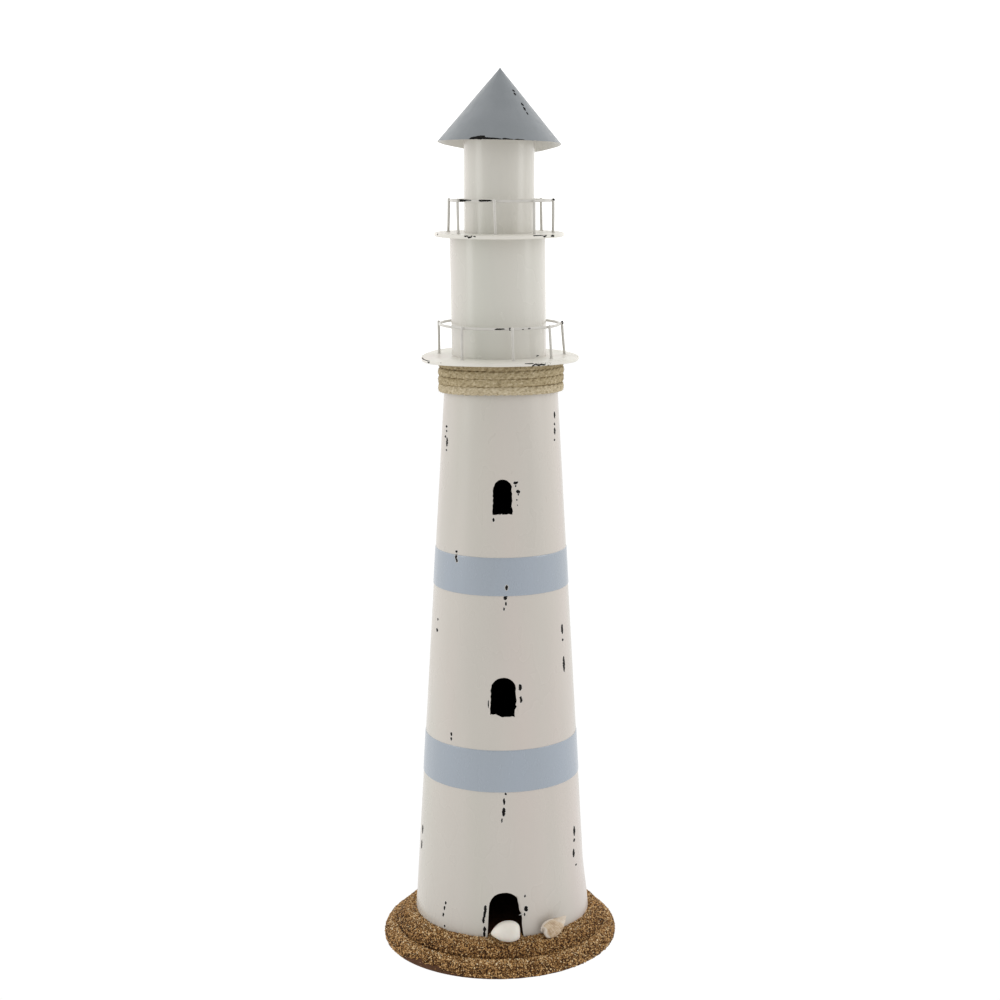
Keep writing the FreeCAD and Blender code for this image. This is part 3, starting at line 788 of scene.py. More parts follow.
# --------------------------------------------------------------------- bands
def build_band(name, z0, z1):
    cols = list(np.arange(-186.0, 186.01, 1.5))
    prof = [(0.07, z0), (0.34, z0 + 0.02), (0.45, z0 + 0.35),
            (0.45, z0 + 1.1)]
    prof += [(0.45, z) for z in np.linspace(z0 + 3.5, z1 - 3.5, 8)]
    prof += [(0.45, z1 - 1.3), (0.43, z1 - 0.75), (0.30, z1 - 0.25),
             (0.10, z1)]
    m = Mesh()
    out_v, in_v = [], []
    for a in cols:
        # over the lap of the tower, then over the strip's own start
        base = float(lap_out(((a + 180) % 360) - 180 if a < 0 else a))
        own = 0.42 * float(step01((a - 173.0) / 3.0))
        if a < -175.8:
            base = SHEET
        ragged = 0.10 * float(noise(a / 3.1, z0, 1.0))
        for o, z in prof:
            t = (z - z0) / (z1 - z0)
            zz = z + ragged * (t - 0.5) * 1.2 + 0.12 * float(
                noise(a / 14.0, 2.2, z0))
            r = tower_r(zz) + base + own + float(ripple(a, zz))
            s, c = math.sin(rad(a)), math.cos(rad(a))
            out_v.append((T_X + (r + o) * s, -(r + o) * c, zz))
            ri = r + 0.05
            in_v.append((T_X + ri * s, -ri * c, zz))
    f = grid_faces(len(cols), len(prof))
    v, f, kinds = solid_sheet(np.array(out_v), np.array(in_v), f)
    m.add(v, f, [0] * len(f))
    return m.build("v_" + name, [BLUE], [name], sharp=60)


build_band("blue_band_upper", 322.4, 354.8)
build_band("blue_band_lower", 153.1, 189.4)


# ---------------------------------------------------------------------- rope
def build_rope():
    turns = [(494.2, 2.40, 3.35), (501.1, 2.65, 3.35), (507.9, 2.85, 3.30),
             (514.5, 2.95, 3.20)]
    cross, start = 24.0, 168.0
    rc = [tower_r(z - b) + 0.06 + a for z, a, b in turns]
    path = []   # azimuth, radius, z, a, b, turn position
    stepd = 1.35
    for i, (z, a, b) in enumerate(turns):
        sweep = 360.0 - cross if i < 3 else 352.0 - cross
        n = int(sweep / stepd)
        for q in range(n + 1):
            az = start + cross + sweep * q / n
            path.append((az, rc[i], z, a, b, float(i)))
        if i < 3:
            z2, a2, b2 = turns[i + 1]
            n = int(cross / stepd)
            for q in range(1, n):
                s = q / n
                e = s * s * (3 - 2 * s)
                path.append((start + cross * s + 360.0, rc[i] + (rc[i + 1]
                             - rc[i]) * e, z + (z2 - z) * e, a + (a2 - a) * e,
                             b + (b2 - b) * e, i + e))
    path = np.array(path)
    az = path[:, 0]
    rel = ((az + 180) % 360) - 180
    lap = np.where((rel > LAP0 - 4) | (rel < -175), SHEET, 0.0)
    lap = np.convolve(np.pad(lap, 3, mode="edge"), np.ones(7) / 7, "valid")
    r = path[:, 1] + lap
    ds = np.hypot(np.radians(np.gradient(np.unwrap(np.radians(az)))
                             * 180 / math.pi) * r, np.gradient(path[:, 2]))
    s = np.cumsum(np.abs(ds))
    sag = 0.22 * noise(s / 19.0, 0.5, 2.0)
    # each turn lies a little askew: height at the left, front, right, back
    lie = np.array([(-1.1, 0.9, 0.3, 0.0), (-1.3, 0.6, 1.1, 0.0),
                    (-1.2, -0.1, 1.0, 0.0), (-0.7, -0.2, 0.3, 0.0)])
    for i in range(4):
        w = np.clip(1 - np.abs(path[:, 5] - i), 0, 1)
        h = np.interp(rel, [-180, -90, 0, 90, 180],
                      [lie[i][3], lie[i][0], lie[i][1], lie[i][2], lie[i][3]])
        sag = sag + w * h
    m = Mesh()
    sides = 20
    n = len(path)
    end = np.clip(np.minimum(s - s[0], s[-1] - s) / 4.0, 0, 1)
    taper = 0.55 + 0.45 * step01(end)
    er = np.stack([np.sin(np.radians(az)), -np.cos(np.radians(az)),
                   0 * az], 1)
    for k in range(3):
        ph = 2 * math.pi * k / 3 + s * 2 * math.pi / 21.0
        ca, cb = 0.27 * path[:, 3] * np.cos(ph), 0.27 * path[:, 4] * np.sin(ph)
        rings, joint_shade = [], []
        for q in range(sides):
            psi = 2 * math.pi * q / sides
            yarn = (0.026 * np.cos(6 * psi - s * 2 * math.pi / 6.0)
                    + 0.080 * noise(s / 0.9, q * 0.9 + k * 31.0, 4.0)
                    + 0.030 * noise(s / 4.0, q * 0.5 + k * 17.0, 9.0))
            rr = 0.755 * (1 + yarn)
            cp, sp = math.cos(psi), math.sin(psi)
            cp = math.copysign(abs(cp) ** 0.52, cp)
            sp = math.copysign(abs(sp) ** 0.66, sp)
            x = (ca + rr * path[:, 3] * cp) * taper
            y = (cb + rr * path[:, 4] * sp) * taper * 1.10 + sag
            p = er * (r + x)[:, None]
            p[:, 2] = path[:, 2] + y
            rings.append(p)
            h = (cb + rr * path[:, 4] * sp) / path[:, 4]
            # painted shade in the joints between the turns, stronger at the front
            e = step01((np.abs(h) - 0.72) / 0.20)
            e = e * (0.30 + 0.70 * step01((74.0 - np.abs(rel)) / 26.0))
            e = e * np.where(h < 0, np.clip(path[:, 5], 0, 1),
                             np.clip(3.6 - path[:, 5], 0, 1))
            patch = (0.45 + 0.55 * noise(s / 1.9, q * 0.1, 12.0)
                     + 0.35 * noise(s / 0.8, q * 0.4, 18.0))
            # the uppermost turn is a little darker: painted shade under the deck
            top = 0.20 * step01((path[:, 5] - 2.3) / 0.5)
            joint_shade.append(np.clip(e * patch + top, 0, 1))
        v = np.stack(rings, 1).reshape(-1, 3)
        v[:, 0] += T_X
        f = grid_faces(n, sides, wrap_v=True)
        f.append(tuple(range(sides)))
        f.append(tuple(range(n * sides - 1, (n - 1) * sides - 1, -1)))
        tone = np.repeat(np.clip(1.0 - path[:, 5], 0, 1) * 0.75
                         + 0.12 * noise(s / 9.0, 3.0), sides)
        joint_shade = np.stack(joint_shade, 1).ravel()
        tone = np.clip(tone, 0, 1) * (1 - joint_shade) - joint_shade
        m.add(v, f, 0, True, np.clip(tone, -1, 1))
    # loose fibres
    rs = np.random.RandomState(77)
    for q in range(4200):
        i = rs.randint(4, n - 4)
        psi = rs.uniform(-1.9, 1.9)
        a_, b_ = path[i, 3], path[i, 4]
        e = er[i]
        t = np.array([e[1] * -1.0, e[0], 0.0])
        up = np.array([0, 0, 1.0])
        nrm = e * math.cos(psi) + up * math.sin(psi)
        base = np.array([T_X, 0, path[i, 2]]) + e * r[i]
        base = base + e * (a_ * 0.97 * math.cos(psi)) + up * (
            b_ * 0.9 * math.sin(psi) + sag[i])
        ln = rs.uniform(1.2, 4.6)
        side = rs.choice((-1, 1))
        d1 = t * side * rs.uniform(0.5, 1.0) + up * rs.uniform(-0.5, 0.5)
        lift = rs.uniform(0.04, 0.32)
        p = [base, base + (d1 + nrm * lift) * ln * 0.5,
             base + (d1 + nrm * lift * 0.6) * ln
             + up * rs.uniform(-0.3, 0.3)]
        p = [np.array([x[0], x[1], min(x[2], 517.0)]) for x in p]
        th = rs.uniform(0.05, 0.09)
        v, f = tube_along(p, [th, th * 0.9, th * 0.4], 3, False)
        m.add(v, f, 0, True, float(np.clip(1 - path[i, 5], 0, 1)) * 0.8 + 0.2)
    return m.build("v_rope_winding", [JUTE], ["rope_winding"],
                   sharp=None, attribute="tone")


build_rope()


# --------------------------------------------------------------------- decks
def deck_profile(radius, flat, rim, n_in, n_out):
    """(r, z, share of the droop) along the section of a deck."""
    c, end = 0.9, radius - 0.95
    top = [(r, 0.0, 0.0) for r in np.linspace(0, flat, n_in)[1:]]
    for q in range(1, n_out + 1):
        u = q / n_out
        top.append((flat + (end - flat) * u, 0.0, u * u))
    low = [(end + c * math.sin(rad(b)), c * math.cos(rad(b)) - c, 1.0)
           for b in (22, 45, 68, 90)]
    low += [(end + c, -rim + 0.6, 1.0), (end + c - 0.10, -rim + 0.22, 1.0),
            (end + c - 0.35, -rim + 0.05, 1.0), (end + c - 0.6, -rim, 1.0),
            (end + c - 0.85, -rim + 0.05, 1.0),
            (end + c - 1.08, -rim + 0.22, 1.0), (end + c - 1.15, -rim + 0.6, 1.0),
            (end + c - 1.15, -DECK_T - 0.4, 1.0),
            (end + c - 1.4, -DECK_T - 0.1, 1.0)]
    under = []
    for q in range(n_out, 0, -1):
        u = q / n_out
        under.append((flat + (end - 1.0 - flat) * u, -DECK_T, u * u))
    under += [(r, -DECK_T, 0.0) for r in np.linspace(flat, 0, n_in)[:-1]]
    return top + low + under


def deck_wave(a, r, radius, seed):
    u = (np.asarray(r, float) / radius) ** 3
    ca, sa = np.cos(np.radians(a)), np.sin(np.radians(a))
    return u * (0.10 * noise(ca * 1.7 + seed, sa * 1.7, 5.0)
                + 0.05 * noise(ca * 5 + seed, sa * 5, 8.0)) - 0.03


# how far the rims droop, by azimuth
LOW_DROOP = [(-180, -0.4), (-160, -0.7), (-140, -1.1), (-125, -0.9),
             (-116, 0.0), (-105, 0.4), (-90, 1.1), (-75, 2.0), (-60, 2.2),
             (-45, 1.6), (-20, 0.9), (0, 0.7), (20, 0.7), (45, 0.9), (65, 1.3),
             (80, 1.2), (90, 0.8), (105, 0.5), (118, 0.3), (130, 0.0),
             (155, -0.2), (180, -0.4)]
UP_DROOP = [(-180, 0.2), (180, 0.2)]


def droop_at(table, a):
    a = (np.asarray(a, float) + 180.0) % 360.0 - 180.0
    t = np.array(table, float)
    # smoothed between the given points
    tot = 0.0
    for d, w in ((-8, 0.2), (0, 0.6), (8, 0.2)):
        b = (a + d + 180.0) % 360.0 - 180.0
        tot = tot + w * np.interp(b, t[:, 0], t[:, 1])
    return tot


def deck_point(deck, a, r, lift=0.0):
    """Point on top of a deck at azimuth a and radius r, given in the frame
    of the deck."""
    m4, radius, flat, rim, table, seed = deck
    a, r = np.asarray(a, float), np.asarray(r, float)
    u = np.clip((r - flat) / (radius - 0.95 - flat), 0, 1)
    z = -droop_at(table, a) * u * u + deck_wave(a, r, radius, seed) + lift
    p = np.stack([r * np.sin(np.radians(a)), -r * np.cos(np.radians(a)), z],
                 -1)
    return apply(m4, p)


def rim_point(deck, a, h, lift=0.0):
    """Point on the rim, h mm below the top of the deck, following the round
    corner."""
    m4, radius, flat, rim, table, seed = deck
    a, h = np.asarray(a, float), np.asarray(h, float)
    c, end = 0.9, radius - 0.95
    hh = np.clip(h, 0.0, c)
    r = end + np.sqrt(np.maximum(c * c - (c - hh) ** 2, 0.0)) - 0.06
    r = np.where(h < 0, end + h, r) + lift
    z = (-droop_at(table, a) - np.maximum(h, 0) + lift * np.clip(1 - hh / c, 0, 1)
         + deck_wave(a, r, radius, seed))
    p = np.stack([r * np.sin(np.radians(a)), -r * np.cos(np.radians(a)), z],
                 -1)
    return apply(m4, p)


def build_deck(name, deck):
    m4, radius, flat, rim, table, seed = deck
    prof = deck_profile(radius, flat, rim, 12, 9)
    na, npf = 240, len(prof)
    v = []
    for i in range(na):
        a = 360.0 * i / na
        ca, sa = math.cos(rad(a)), math.sin(rad(a))
        rag = 0.06 * float(noise(ca * 9, sa * 9, seed))
        dr = float(droop_at(table, a))
        for r, z, k in prof:
            rr = r - (0.06 + rag) * (r / radius) ** 12
            w = float(deck_wave(a, rr, radius, seed))
            v.append((rr * sa, -rr * ca, z - dr * k + w))
    n = len(v)
    v.append((0, 0, -0.03))
    v.append((0, 0, -DECK_T - 0.03))
    f = grid_faces(na, npf, wrap_u=True)
    for i in range(na):
        i2 = (i + 1) % na
        f.append((n, i * npf, i2 * npf))
        f.append((n + 1, i2 * npf + npf - 1, i * npf + npf - 1))
    m = Mesh()
    m.add(apply(m4, v), f)
    return m.build("v_" + name, [CREAM_DECK_LIT], [name], sharp=60)


LOW_DECK = (M_LOW, 67.65, 56.0, 2.6, LOW_DROOP, 3.0)
UP_DECK = (M_UP, 54.95, 46.4, 3.1, UP_DROOP, 11.0)
build_deck("lower_gallery_deck", LOW_DECK)
build_deck("upper_gallery_deck", UP_DECK)


# --------------------------------------------------------------------- tubes
def build_tube(name, m4, radius, bottom, top, lap_half, seed, rows=20):
    """Rolled tube; bottom and top give the local height per azimuth."""
    end = 180.0 + lap_half
    cols = list(np.arange(-end, end - 12.0, 2.0))
    cols += list(np.linspace(end - 11.4, end, 12))
    out_v, in_v = [], []
    t0 = 180.0 - lap_half
    for a in cols:
        own = SHEET * float(step01((a - (t0 - 5.0)) / 5.0))
        s, c = math.sin(rad(a)), math.cos(rad(a))
        zb, zt = bottom(a, radius), top(a, radius + own)
        zbi, zti = bottom(a, radius - SHEET), top(a, radius - SHEET + own)
        for q in range(rows + 1):
            u = q / rows
            z = zb + (zt - zb) * u
            zi = zbi + (zti - zbi) * u
            w = (0.09 * float(noise(a / 12.0 + seed, z / 120.0, 1.0))
                 + 0.04 * float(noise(a / 5.0 + seed, z / 40.0, 6.0)))
            r = radius + own + w
            ri = r - (SHEET if a < t0 else 0.76)
            out_v.append((r * s, -r * c, z))
            in_v.append((ri * s, -ri * c, zi))
    f = grid_faces(len(cols), rows + 1)
    v, f, kinds = solid_sheet(apply(m4, out_v), apply(m4, in_v), f)
    m = Mesh()
    m.add(v, f, kinds)
    return m.build("v_" + name, [CREAM_TUBE, INSIDE_SHADE, EDGE], [name],
                   sharp=50)


def to_plane(m4, plane, level):
    """Local height at which a point of the tube reaches height level in
    the frame plane."""
    q = plane.inverted() @ m4

    def f(a, r):
        p0 = q @ Vector((r * math.sin(rad(a)), -r * math.cos(rad(a)), 0))
        p1 = q @ Vector((r * math.sin(rad(a)), -r * math.cos(rad(a)), 1))
        return (level - p0.z) / (p1.z - p0.z)
    return f


def to_cone(m4):
    q = M_ROOF.inverted() @ m4
    slope = ROOF_R / ROOF_H

    def f(a, r):
        lo, hi = 20.0, 140.0
        for _ in range(40):
            z = 0.5 * (lo + hi)
            p = q @ Vector((r * math.sin(rad(a)), -r * math.cos(rad(a)), z))
            if p.z < ROOF_H - DROP - 0.06 - math.hypot(p.x, p.y) / slope:
                lo = z
            else:
                hi = z
        return lo
    return f


build_tube("mid_tube", M_MID, 40.45, to_plane(M_MID, M_LOW, 0.02),
           to_plane(M_MID, M_UP, -DECK_T - 0.03), 5.0, 5.0)
build_tube("lantern_tube", M_LAN, 29.72, to_plane(M_LAN, M_UP, 0.02),
           to_cone(M_LAN), 5.8, 9.0)


# ---------------------------------------------------------------------- roof
def roof_wave(a, t):
    return (0.10 * noise(np.asarray(a) / 14.0, np.asarray(t) * 3.0, 2.0)
            + 0.05 * noise(np.asarray(a) / 5.0, np.asarray(t) * 8.0, 5.0)
            ) * np.sin(np.clip(t, 0, 1) * math.pi) ** 0.5


SAG = np.array([(-8.0, 0.0), (0.0, 0.3), (7.0, 0.7), (20.0, 1.5),
                (28.0, 2.15), (33.3, 2.7), (37.8, 3.25), (42.0, 3.95),
                (48.5, 5.2), (57.6, 7.0), (66.0, 8.7)])


def roof_sag(a):
    """How far below the plane of the rim the sheet ends at azimuth a."""
    a = np.asarray(a, float)
    d = 0.0 * a
    for _ in range(12):
        r = ROOF_R + ROOF_R / ROOF_H * d
        u = -r * np.cos(np.radians(a + 8.0))
        d = sum(w * np.interp(u + o, SAG[:, 0], SAG[:, 1])
                for o, w in ((-3.0, 0.25), (0.0, 0.5), (3.0, 0.25)))
    return d


def roof_point(a, t, out=0.0, scale=1.0):
    """Point on the outside of the cone; t from the rim (0) to the apex."""
    a, t = np.asarray(a, float), np.asarray(t, float)
    own = 0.85 * step01((a - 169.0) / 5.0) * step01((0.97 - t) / 0.2)
    r = ROOF_R * (1 - t) + (own + roof_wave(a, t) + out) / math.cos(HALF) * (
        1.0)
    z = ROOF_H * t
    return apply(M_ROOF, np.stack([r * np.sin(np.radians(a)),
                                   -r * np.cos(np.radians(a)), z + 0 * r],
                                  -1))


def build_roof():
    cols = list(np.arange(-185.0, 167.0, 2.0)) + list(np.linspace(167.5, 185.0,
                                                                  15))
    ts = [0.0, 0.006, 0.03, 0.07] + list(np.linspace(0.12, 0.88, 20)) + [
        0.92, 0.95, 0.97, 0.985, 0.992]
    out_v, in_v = [], []
    for a in cols:
        s, c = math.sin(rad(a)), math.cos(rad(a))
        rim = 0.07 * float(noise(a / 7.0, 1.0, 4.0))
        down = float(roof_sag(a)) / ROOF_H
        for t0 in ts:
            t = t0 if t0 > 0.12 else t0 - down * (1 - t0 / 0.12)
            own = (0.85 * float(step01((a - 169.0) / 5.0))
                   * float(step01((0.97 - t) / 0.2)))
            w = float(roof_wave(a, t))
            edge = 0.12 if t0 == 0.0 else 0.0
            r = ROOF_R * (1 - t) + (own + w) / math.cos(HALF) - edge
            z = ROOF_H * t + (rim * max(0.0, 1 - t0 * 12))
            # the inner skin ends at the same height as the outer one
            ti = t * ROOF_H / (ROOF_H - DROP)
            fade = min(1.0, t0 / 0.12)
            ti = ti + (t - ti) * fade
            ri = (ROOF_R - INSET) * (1 - ti) + (own + w) / math.cos(HALF)
            if ti != t:
                ri = ((ROOF_H - DROP - ti * (ROOF_H - DROP))
                      * ROOF_R / ROOF_H + (own + w) / math.cos(HALF))
            if a > 172.0:
                ri += 0.04
            zi = (ROOF_H - DROP) * ti + (rim * max(0.0, 1 - t0 * 12))
            out_v.append((r * s, -r * c, z))
            in_v.append((ri * s, -ri * c, zi))
    f = grid_faces(len(cols), len(ts))
    v, f, kinds = solid_sheet(apply(M_ROOF, out_v), apply(M_ROOF, in_v), f)
    m = Mesh()
    m.add(v, f, kinds)
    # soldered tip
    tip = []
    tr = [(1.05, ROOF_H - 1.75), (0.98, ROOF_H - 1.25), (0.74, ROOF_H - 0.62),
          (0.42, ROOF_H - 0.2)]
    sides = 16
    for r, z in tr:
        for q in range(sides):
            b = 2 * math.pi * q / sides
            tip.append((r * math.sin(b), -r * math.cos(b), z))
    tip += [(0, 0, ROOF_H - 0.02), (0, 0, ROOF_H - 1.9)]
    f = grid_faces(len(tr), sides, wrap_v=True, flip=True)
    k = len(tr) * sides
    for q in range(sides):
        q2 = (q + 1) % sides
        f.append((k, (len(tr) - 1) * sides + q, (len(tr) - 1) * sides + q2))
        f.append((k + 1, q2, q))
    m.add(apply(M_ROOF, tip), f, 0)
    return m.build("v_roof_cone", [ROOF, CREAM_TUBE, EDGE], ["roof_cone"],
                   sharp=50)


build_roof()


# ------------------------------------------------------------------- railing
def build_ring(name, m4, dx, ring_r, ring_z, tilt, seed):
    fr = m4 @ shift(dx, 0, ring_z) @ turn(tilt, "X")
    n, sides = 200, 14
    v = []
    for i in range(n):
        a = 360.0 * i / n
        ca, sa = math.cos(rad(a)), math.sin(rad(a))
        rr = ring_r + 0.10 * float(noise(ca * 2.2 + seed, sa * 2.2, 1.0))
        zz = 0.09 * float(noise(ca * 2.0, sa * 2.0 + seed, 6.0))
        wr = 1.15 + 0.04 * float(noise(ca * 14, sa * 14, seed))
        for q in range(sides):
            b = 2 * math.pi * q / sides
            v.append(((rr + wr * math.cos(b)) * sa, -(rr + wr * math.cos(b))
                      * ca, zz + wr * math.sin(b)))
    m = Mesh()
    m.add(apply(fr, v), grid_faces(n, sides, wrap_u=True, wrap_v=True))
    # the butt joint of the wire
    b = fr @ Vector((ring_r * math.sin(rad(158)), -ring_r
                     * math.cos(rad(158)), 0))
    bv, bf = blob(tuple(b), (1.5, 1.6, 1.45), seed=int(seed))
    m.add(bv, bf)
    return m.build("v_" + name, [WIRE], [name], sharp=60)


def build_posts(prefix, m4, dx, ring_z, tilt, post_r, posts):
    fr = m4 @ shift(dx, 0, 0)
    for k, (az_top, az_foot, r_foot) in enumerate(posts):
        rs = np.random.RandomState(1000 + k + (50 if prefix == "upper" else 0))
        zt = ring_z + post_r * -math.cos(rad(az_top)) * math.sin(rad(tilt))
        a = np.array([r_foot * math.sin(rad(az_foot)),
                      -r_foot * math.cos(rad(az_foot)), 0.0])
        b = np.array([post_r * math.sin(rad(az_top)),
                      -post_r * math.cos(rad(az_top)), zt])
        d = (b - a) / np.linalg.norm(b - a)
        end = b + d * 0.75
        path = []
        bend = (rs.rand(2) - 0.5) * 0.24
        for q in range(15):
            u = q / 14.0
            p = a + (end - a) * u
            w = math.sin(math.pi * u)
            path.append((p[0] + bend[0] * w, p[1] + bend[1] * w, p[2] + 0.04))
        radii = 1.13 + 0.04 * noise(np.arange(15) * 0.6, k, 3.0)
        v, f = tube_along(apply(fr, path), radii, 14)
        m = Mesh()
        m.add(v, f)
        # bead at the foot and bead where the post touches the ring
        foot = a + d * 0.1
        bv, bf = blob((0, 0, 0), (1.65, 1.6, 0.65), seed=k, nu=16, nv=8,
                      rough=0.12)
        bv = bv + foot
        bv[:, 2] = np.maximum(bv[:, 2], 0.0)
        m.add(apply(fr, bv), bf)
        inward = np.array([math.sin(rad(az_top)), -math.cos(rad(az_top)), 0])
        tang = np.array([inward[1] * -1, inward[0], 0])
        axes = [inward, tang, [0, 0, 1]]
        mid = b - inward * 1.15
        bv, bf = blob(tuple(mid), (1.15, 1.6, 1.0), axes, nu=14, nv=8,
                      seed=k + 9, rough=0.12)
        m.add(apply(fr, bv), bf)
        m.build("v_%s_rail_post_%d" % (prefix, k + 1), [WIRE],
                ["%s_rail_post_%d" % (prefix, k + 1)], sharp=60)


LOW_POSTS = [(-101.0, -102.5, 53.4), (-35.8, -35.6, 53.4), (11.4, 12.3, 53.5),
             (51.6, 54.2, 53.6), (91.0, 96.0, 56.2), (134.0, 134.5, 53.2),
             (177.0, 176.0, 53.4), (-138.0, -139.0, 53.5)]
UP_POSTS = [(-97.5, -98.0, 45.0), (-54.0, -52.6, 44.4), (-6.9, -5.6, 44.2),
            (38.4, 38.8, 44.3), (86.0, 86.0, 44.3), (128.6, 128.0, 44.6),
            (174.0, 173.0, 44.3), (-141.5, -142.0, 44.2)]
build_ring("lower_rail_ring", M_LOW, -0.45, 51.05, 26.7, 0.6, 2.0)
build_ring("upper_rail_ring", M_UP, 1.35, 41.95, 26.5, -1.0, 6.0)
build_posts("lower", M_LOW, -0.45, 26.7, 0.6, 53.4, LOW_POSTS)
build_posts("upper", M_UP, 1.35, 26.5, -1.0, 44.3, UP_POSTS)


# ---------------------------------------------------------------------- sand
def rotations(rs, n):
    q = rs.randn(n, 4)
    q /= np.linalg.norm(q, axis=1)[:, None]
    w, x, y, z = q.T
    return np.stack([
        np.stack([1 - 2 * (y * y + z * z), 2 * (x * y - z * w),
                  2 * (x * z + y * w)], 1),
        np.stack([2 * (x * y + z * w), 1 - 2 * (x * x + z * z),
                  2 * (y * z - x * w)], 1),
        np.stack([2 * (x * z - y * w), 2 * (y * z + x * w),
                  1 - 2 * (x * x + y * y)], 1)], 1)


CUBE = np.array([(-1, -1, -1), (1, -1, -1), (1, 1, -1), (-1, 1, -1),
                 (-1, -1, 1), (1, -1, 1), (1, 1, 1), (-1, 1, 1)]) * 0.577
CUBE_F = [(0, 3, 2, 1), (4, 5, 6, 7), (0, 1, 5, 4), (1, 2, 6, 5),
          (2, 3, 7, 6), (3, 0, 4, 7)]


def grains(m, centres, size, rs, limit=None, low=0.05, shade=0.0):
    n = len(centres)
    shade = np.broadcast_to(np.asarray(shade, float), (n,))
    v = np.broadcast_to(CUBE, (n, 8, 3)).copy()
    v *= 1 + (rs.rand(n, 8, 3) - 0.5) * 0.7
    v *= (0.75 + rs.rand(n, 1, 3) * 0.55)
    v *= np.asarray(size)[:, None, None]
    v = np.einsum("nij,nkj->nki", rotations(rs, n), v)
    v += np.asarray(centres)[:, None, :]
    v = v.reshape(-1, 3)
    if limit:
        v[:, :2] = np.clip(v[:, :2], -limit, limit)
    v[:, 2] = np.maximum(v[:, 2], low)
    tone = rs.rand(n)
    tone = 0.5 + 0.5 * np.sign(tone - 0.5) * np.abs(2 * tone - 1) ** 0.8
    tone = np.clip(0.08 + 0.78 * tone + shade, 0, 1)
    bright = rs.rand(n) < 0.06
    tone[bright] = (0.88 + 0.12 * rs.rand(int(bright.sum()))
                    + 0.6 * np.minimum(shade, 0)[bright])
    base = m.n
    m.v.append(v)
    m.w.append(np.repeat(tone, 8))
    f = (np.arange(n)[:, None, None] * 8 + np.array(CUBE_F)[None] + base)
    f = f.reshape(-1, 4).tolist()
    m.f.extend(f)
    m.m.extend([0] * len(f))
    m.s.extend([False] * len(f))
    m.n += len(v)


BARE = np.array([(-180, 0.15), (-75, 0.15), (-60, 0.3), (-56, 0.6), (-52, 1.6),
                 (-49, 3.0), (-46, 4.0), (-43.4, 4.9), (-42.2, 6.4),
                 (-39.8, 6.8), (-39.0, 4.5), (-36, 4.3), (-33, 4.9),
                 (-29.6, 5.6), (-28.8, 3.5), (-25, 3.1), (-22, 2.0),
                 (-18, 1.3), (-10, 0.9), (0, 0.75), (30, 0.5), (45, 0.25),
                 (180, 0.15)], float)


def bare_height(az):
    """Height of the strip of board left without sand, lower left."""
    az = np.asarray(az, float)
    h = np.interp(az, BARE[:, 0], BARE[:, 1])
    h = h * (1 + 0.35 * noise(az / 1.3, 8.0, 1.0))
    return np.clip(h + 0.12 * noise(az / 0.9, 3.0, 1.0), 0.06, 7.6)


def bulge(az, upper=False):
    """The base isn't cut quite round: extra radius at azimuth az."""
    az = (np.asarray(az, float) + 180.0) % 360.0 - 180.0
    t = np.radians(az)
    d = (1.5 * np.cos(2 * (t + rad(61.3))) + 1.07 * np.sin(t)
         + 1.83 * np.cos(t))
    rest = 0.5
    if not upper:
        d = d + 1.05 * np.cos(t + rad(40.0))
        rest = 0.9
    k = step01((np.abs(az) - 112.0) / 36.0)
    return d * (1 - k) + rest * k


def along(points, s):
    """Point at arc length s on a polyline of (r, z)."""
    p = np.array(points, float)
    seg = np.hypot(*np.diff(p, axis=0).T)
    cum = np.concatenate([[0], np.cumsum(seg)])
    return (np.interp(s, cum, p[:, 0]), np.interp(s, cum, p[:, 1]), cum[-1])


def arc_pts(c, r, a0, a1, n):
    return [(c[0] + r * math.cos(rad(a0 + (a1 - a0) * i / n)),
             c[1] + r * math.sin(rad(a0 + (a1 - a0) * i / n)))
            for i in range(n + 1)]


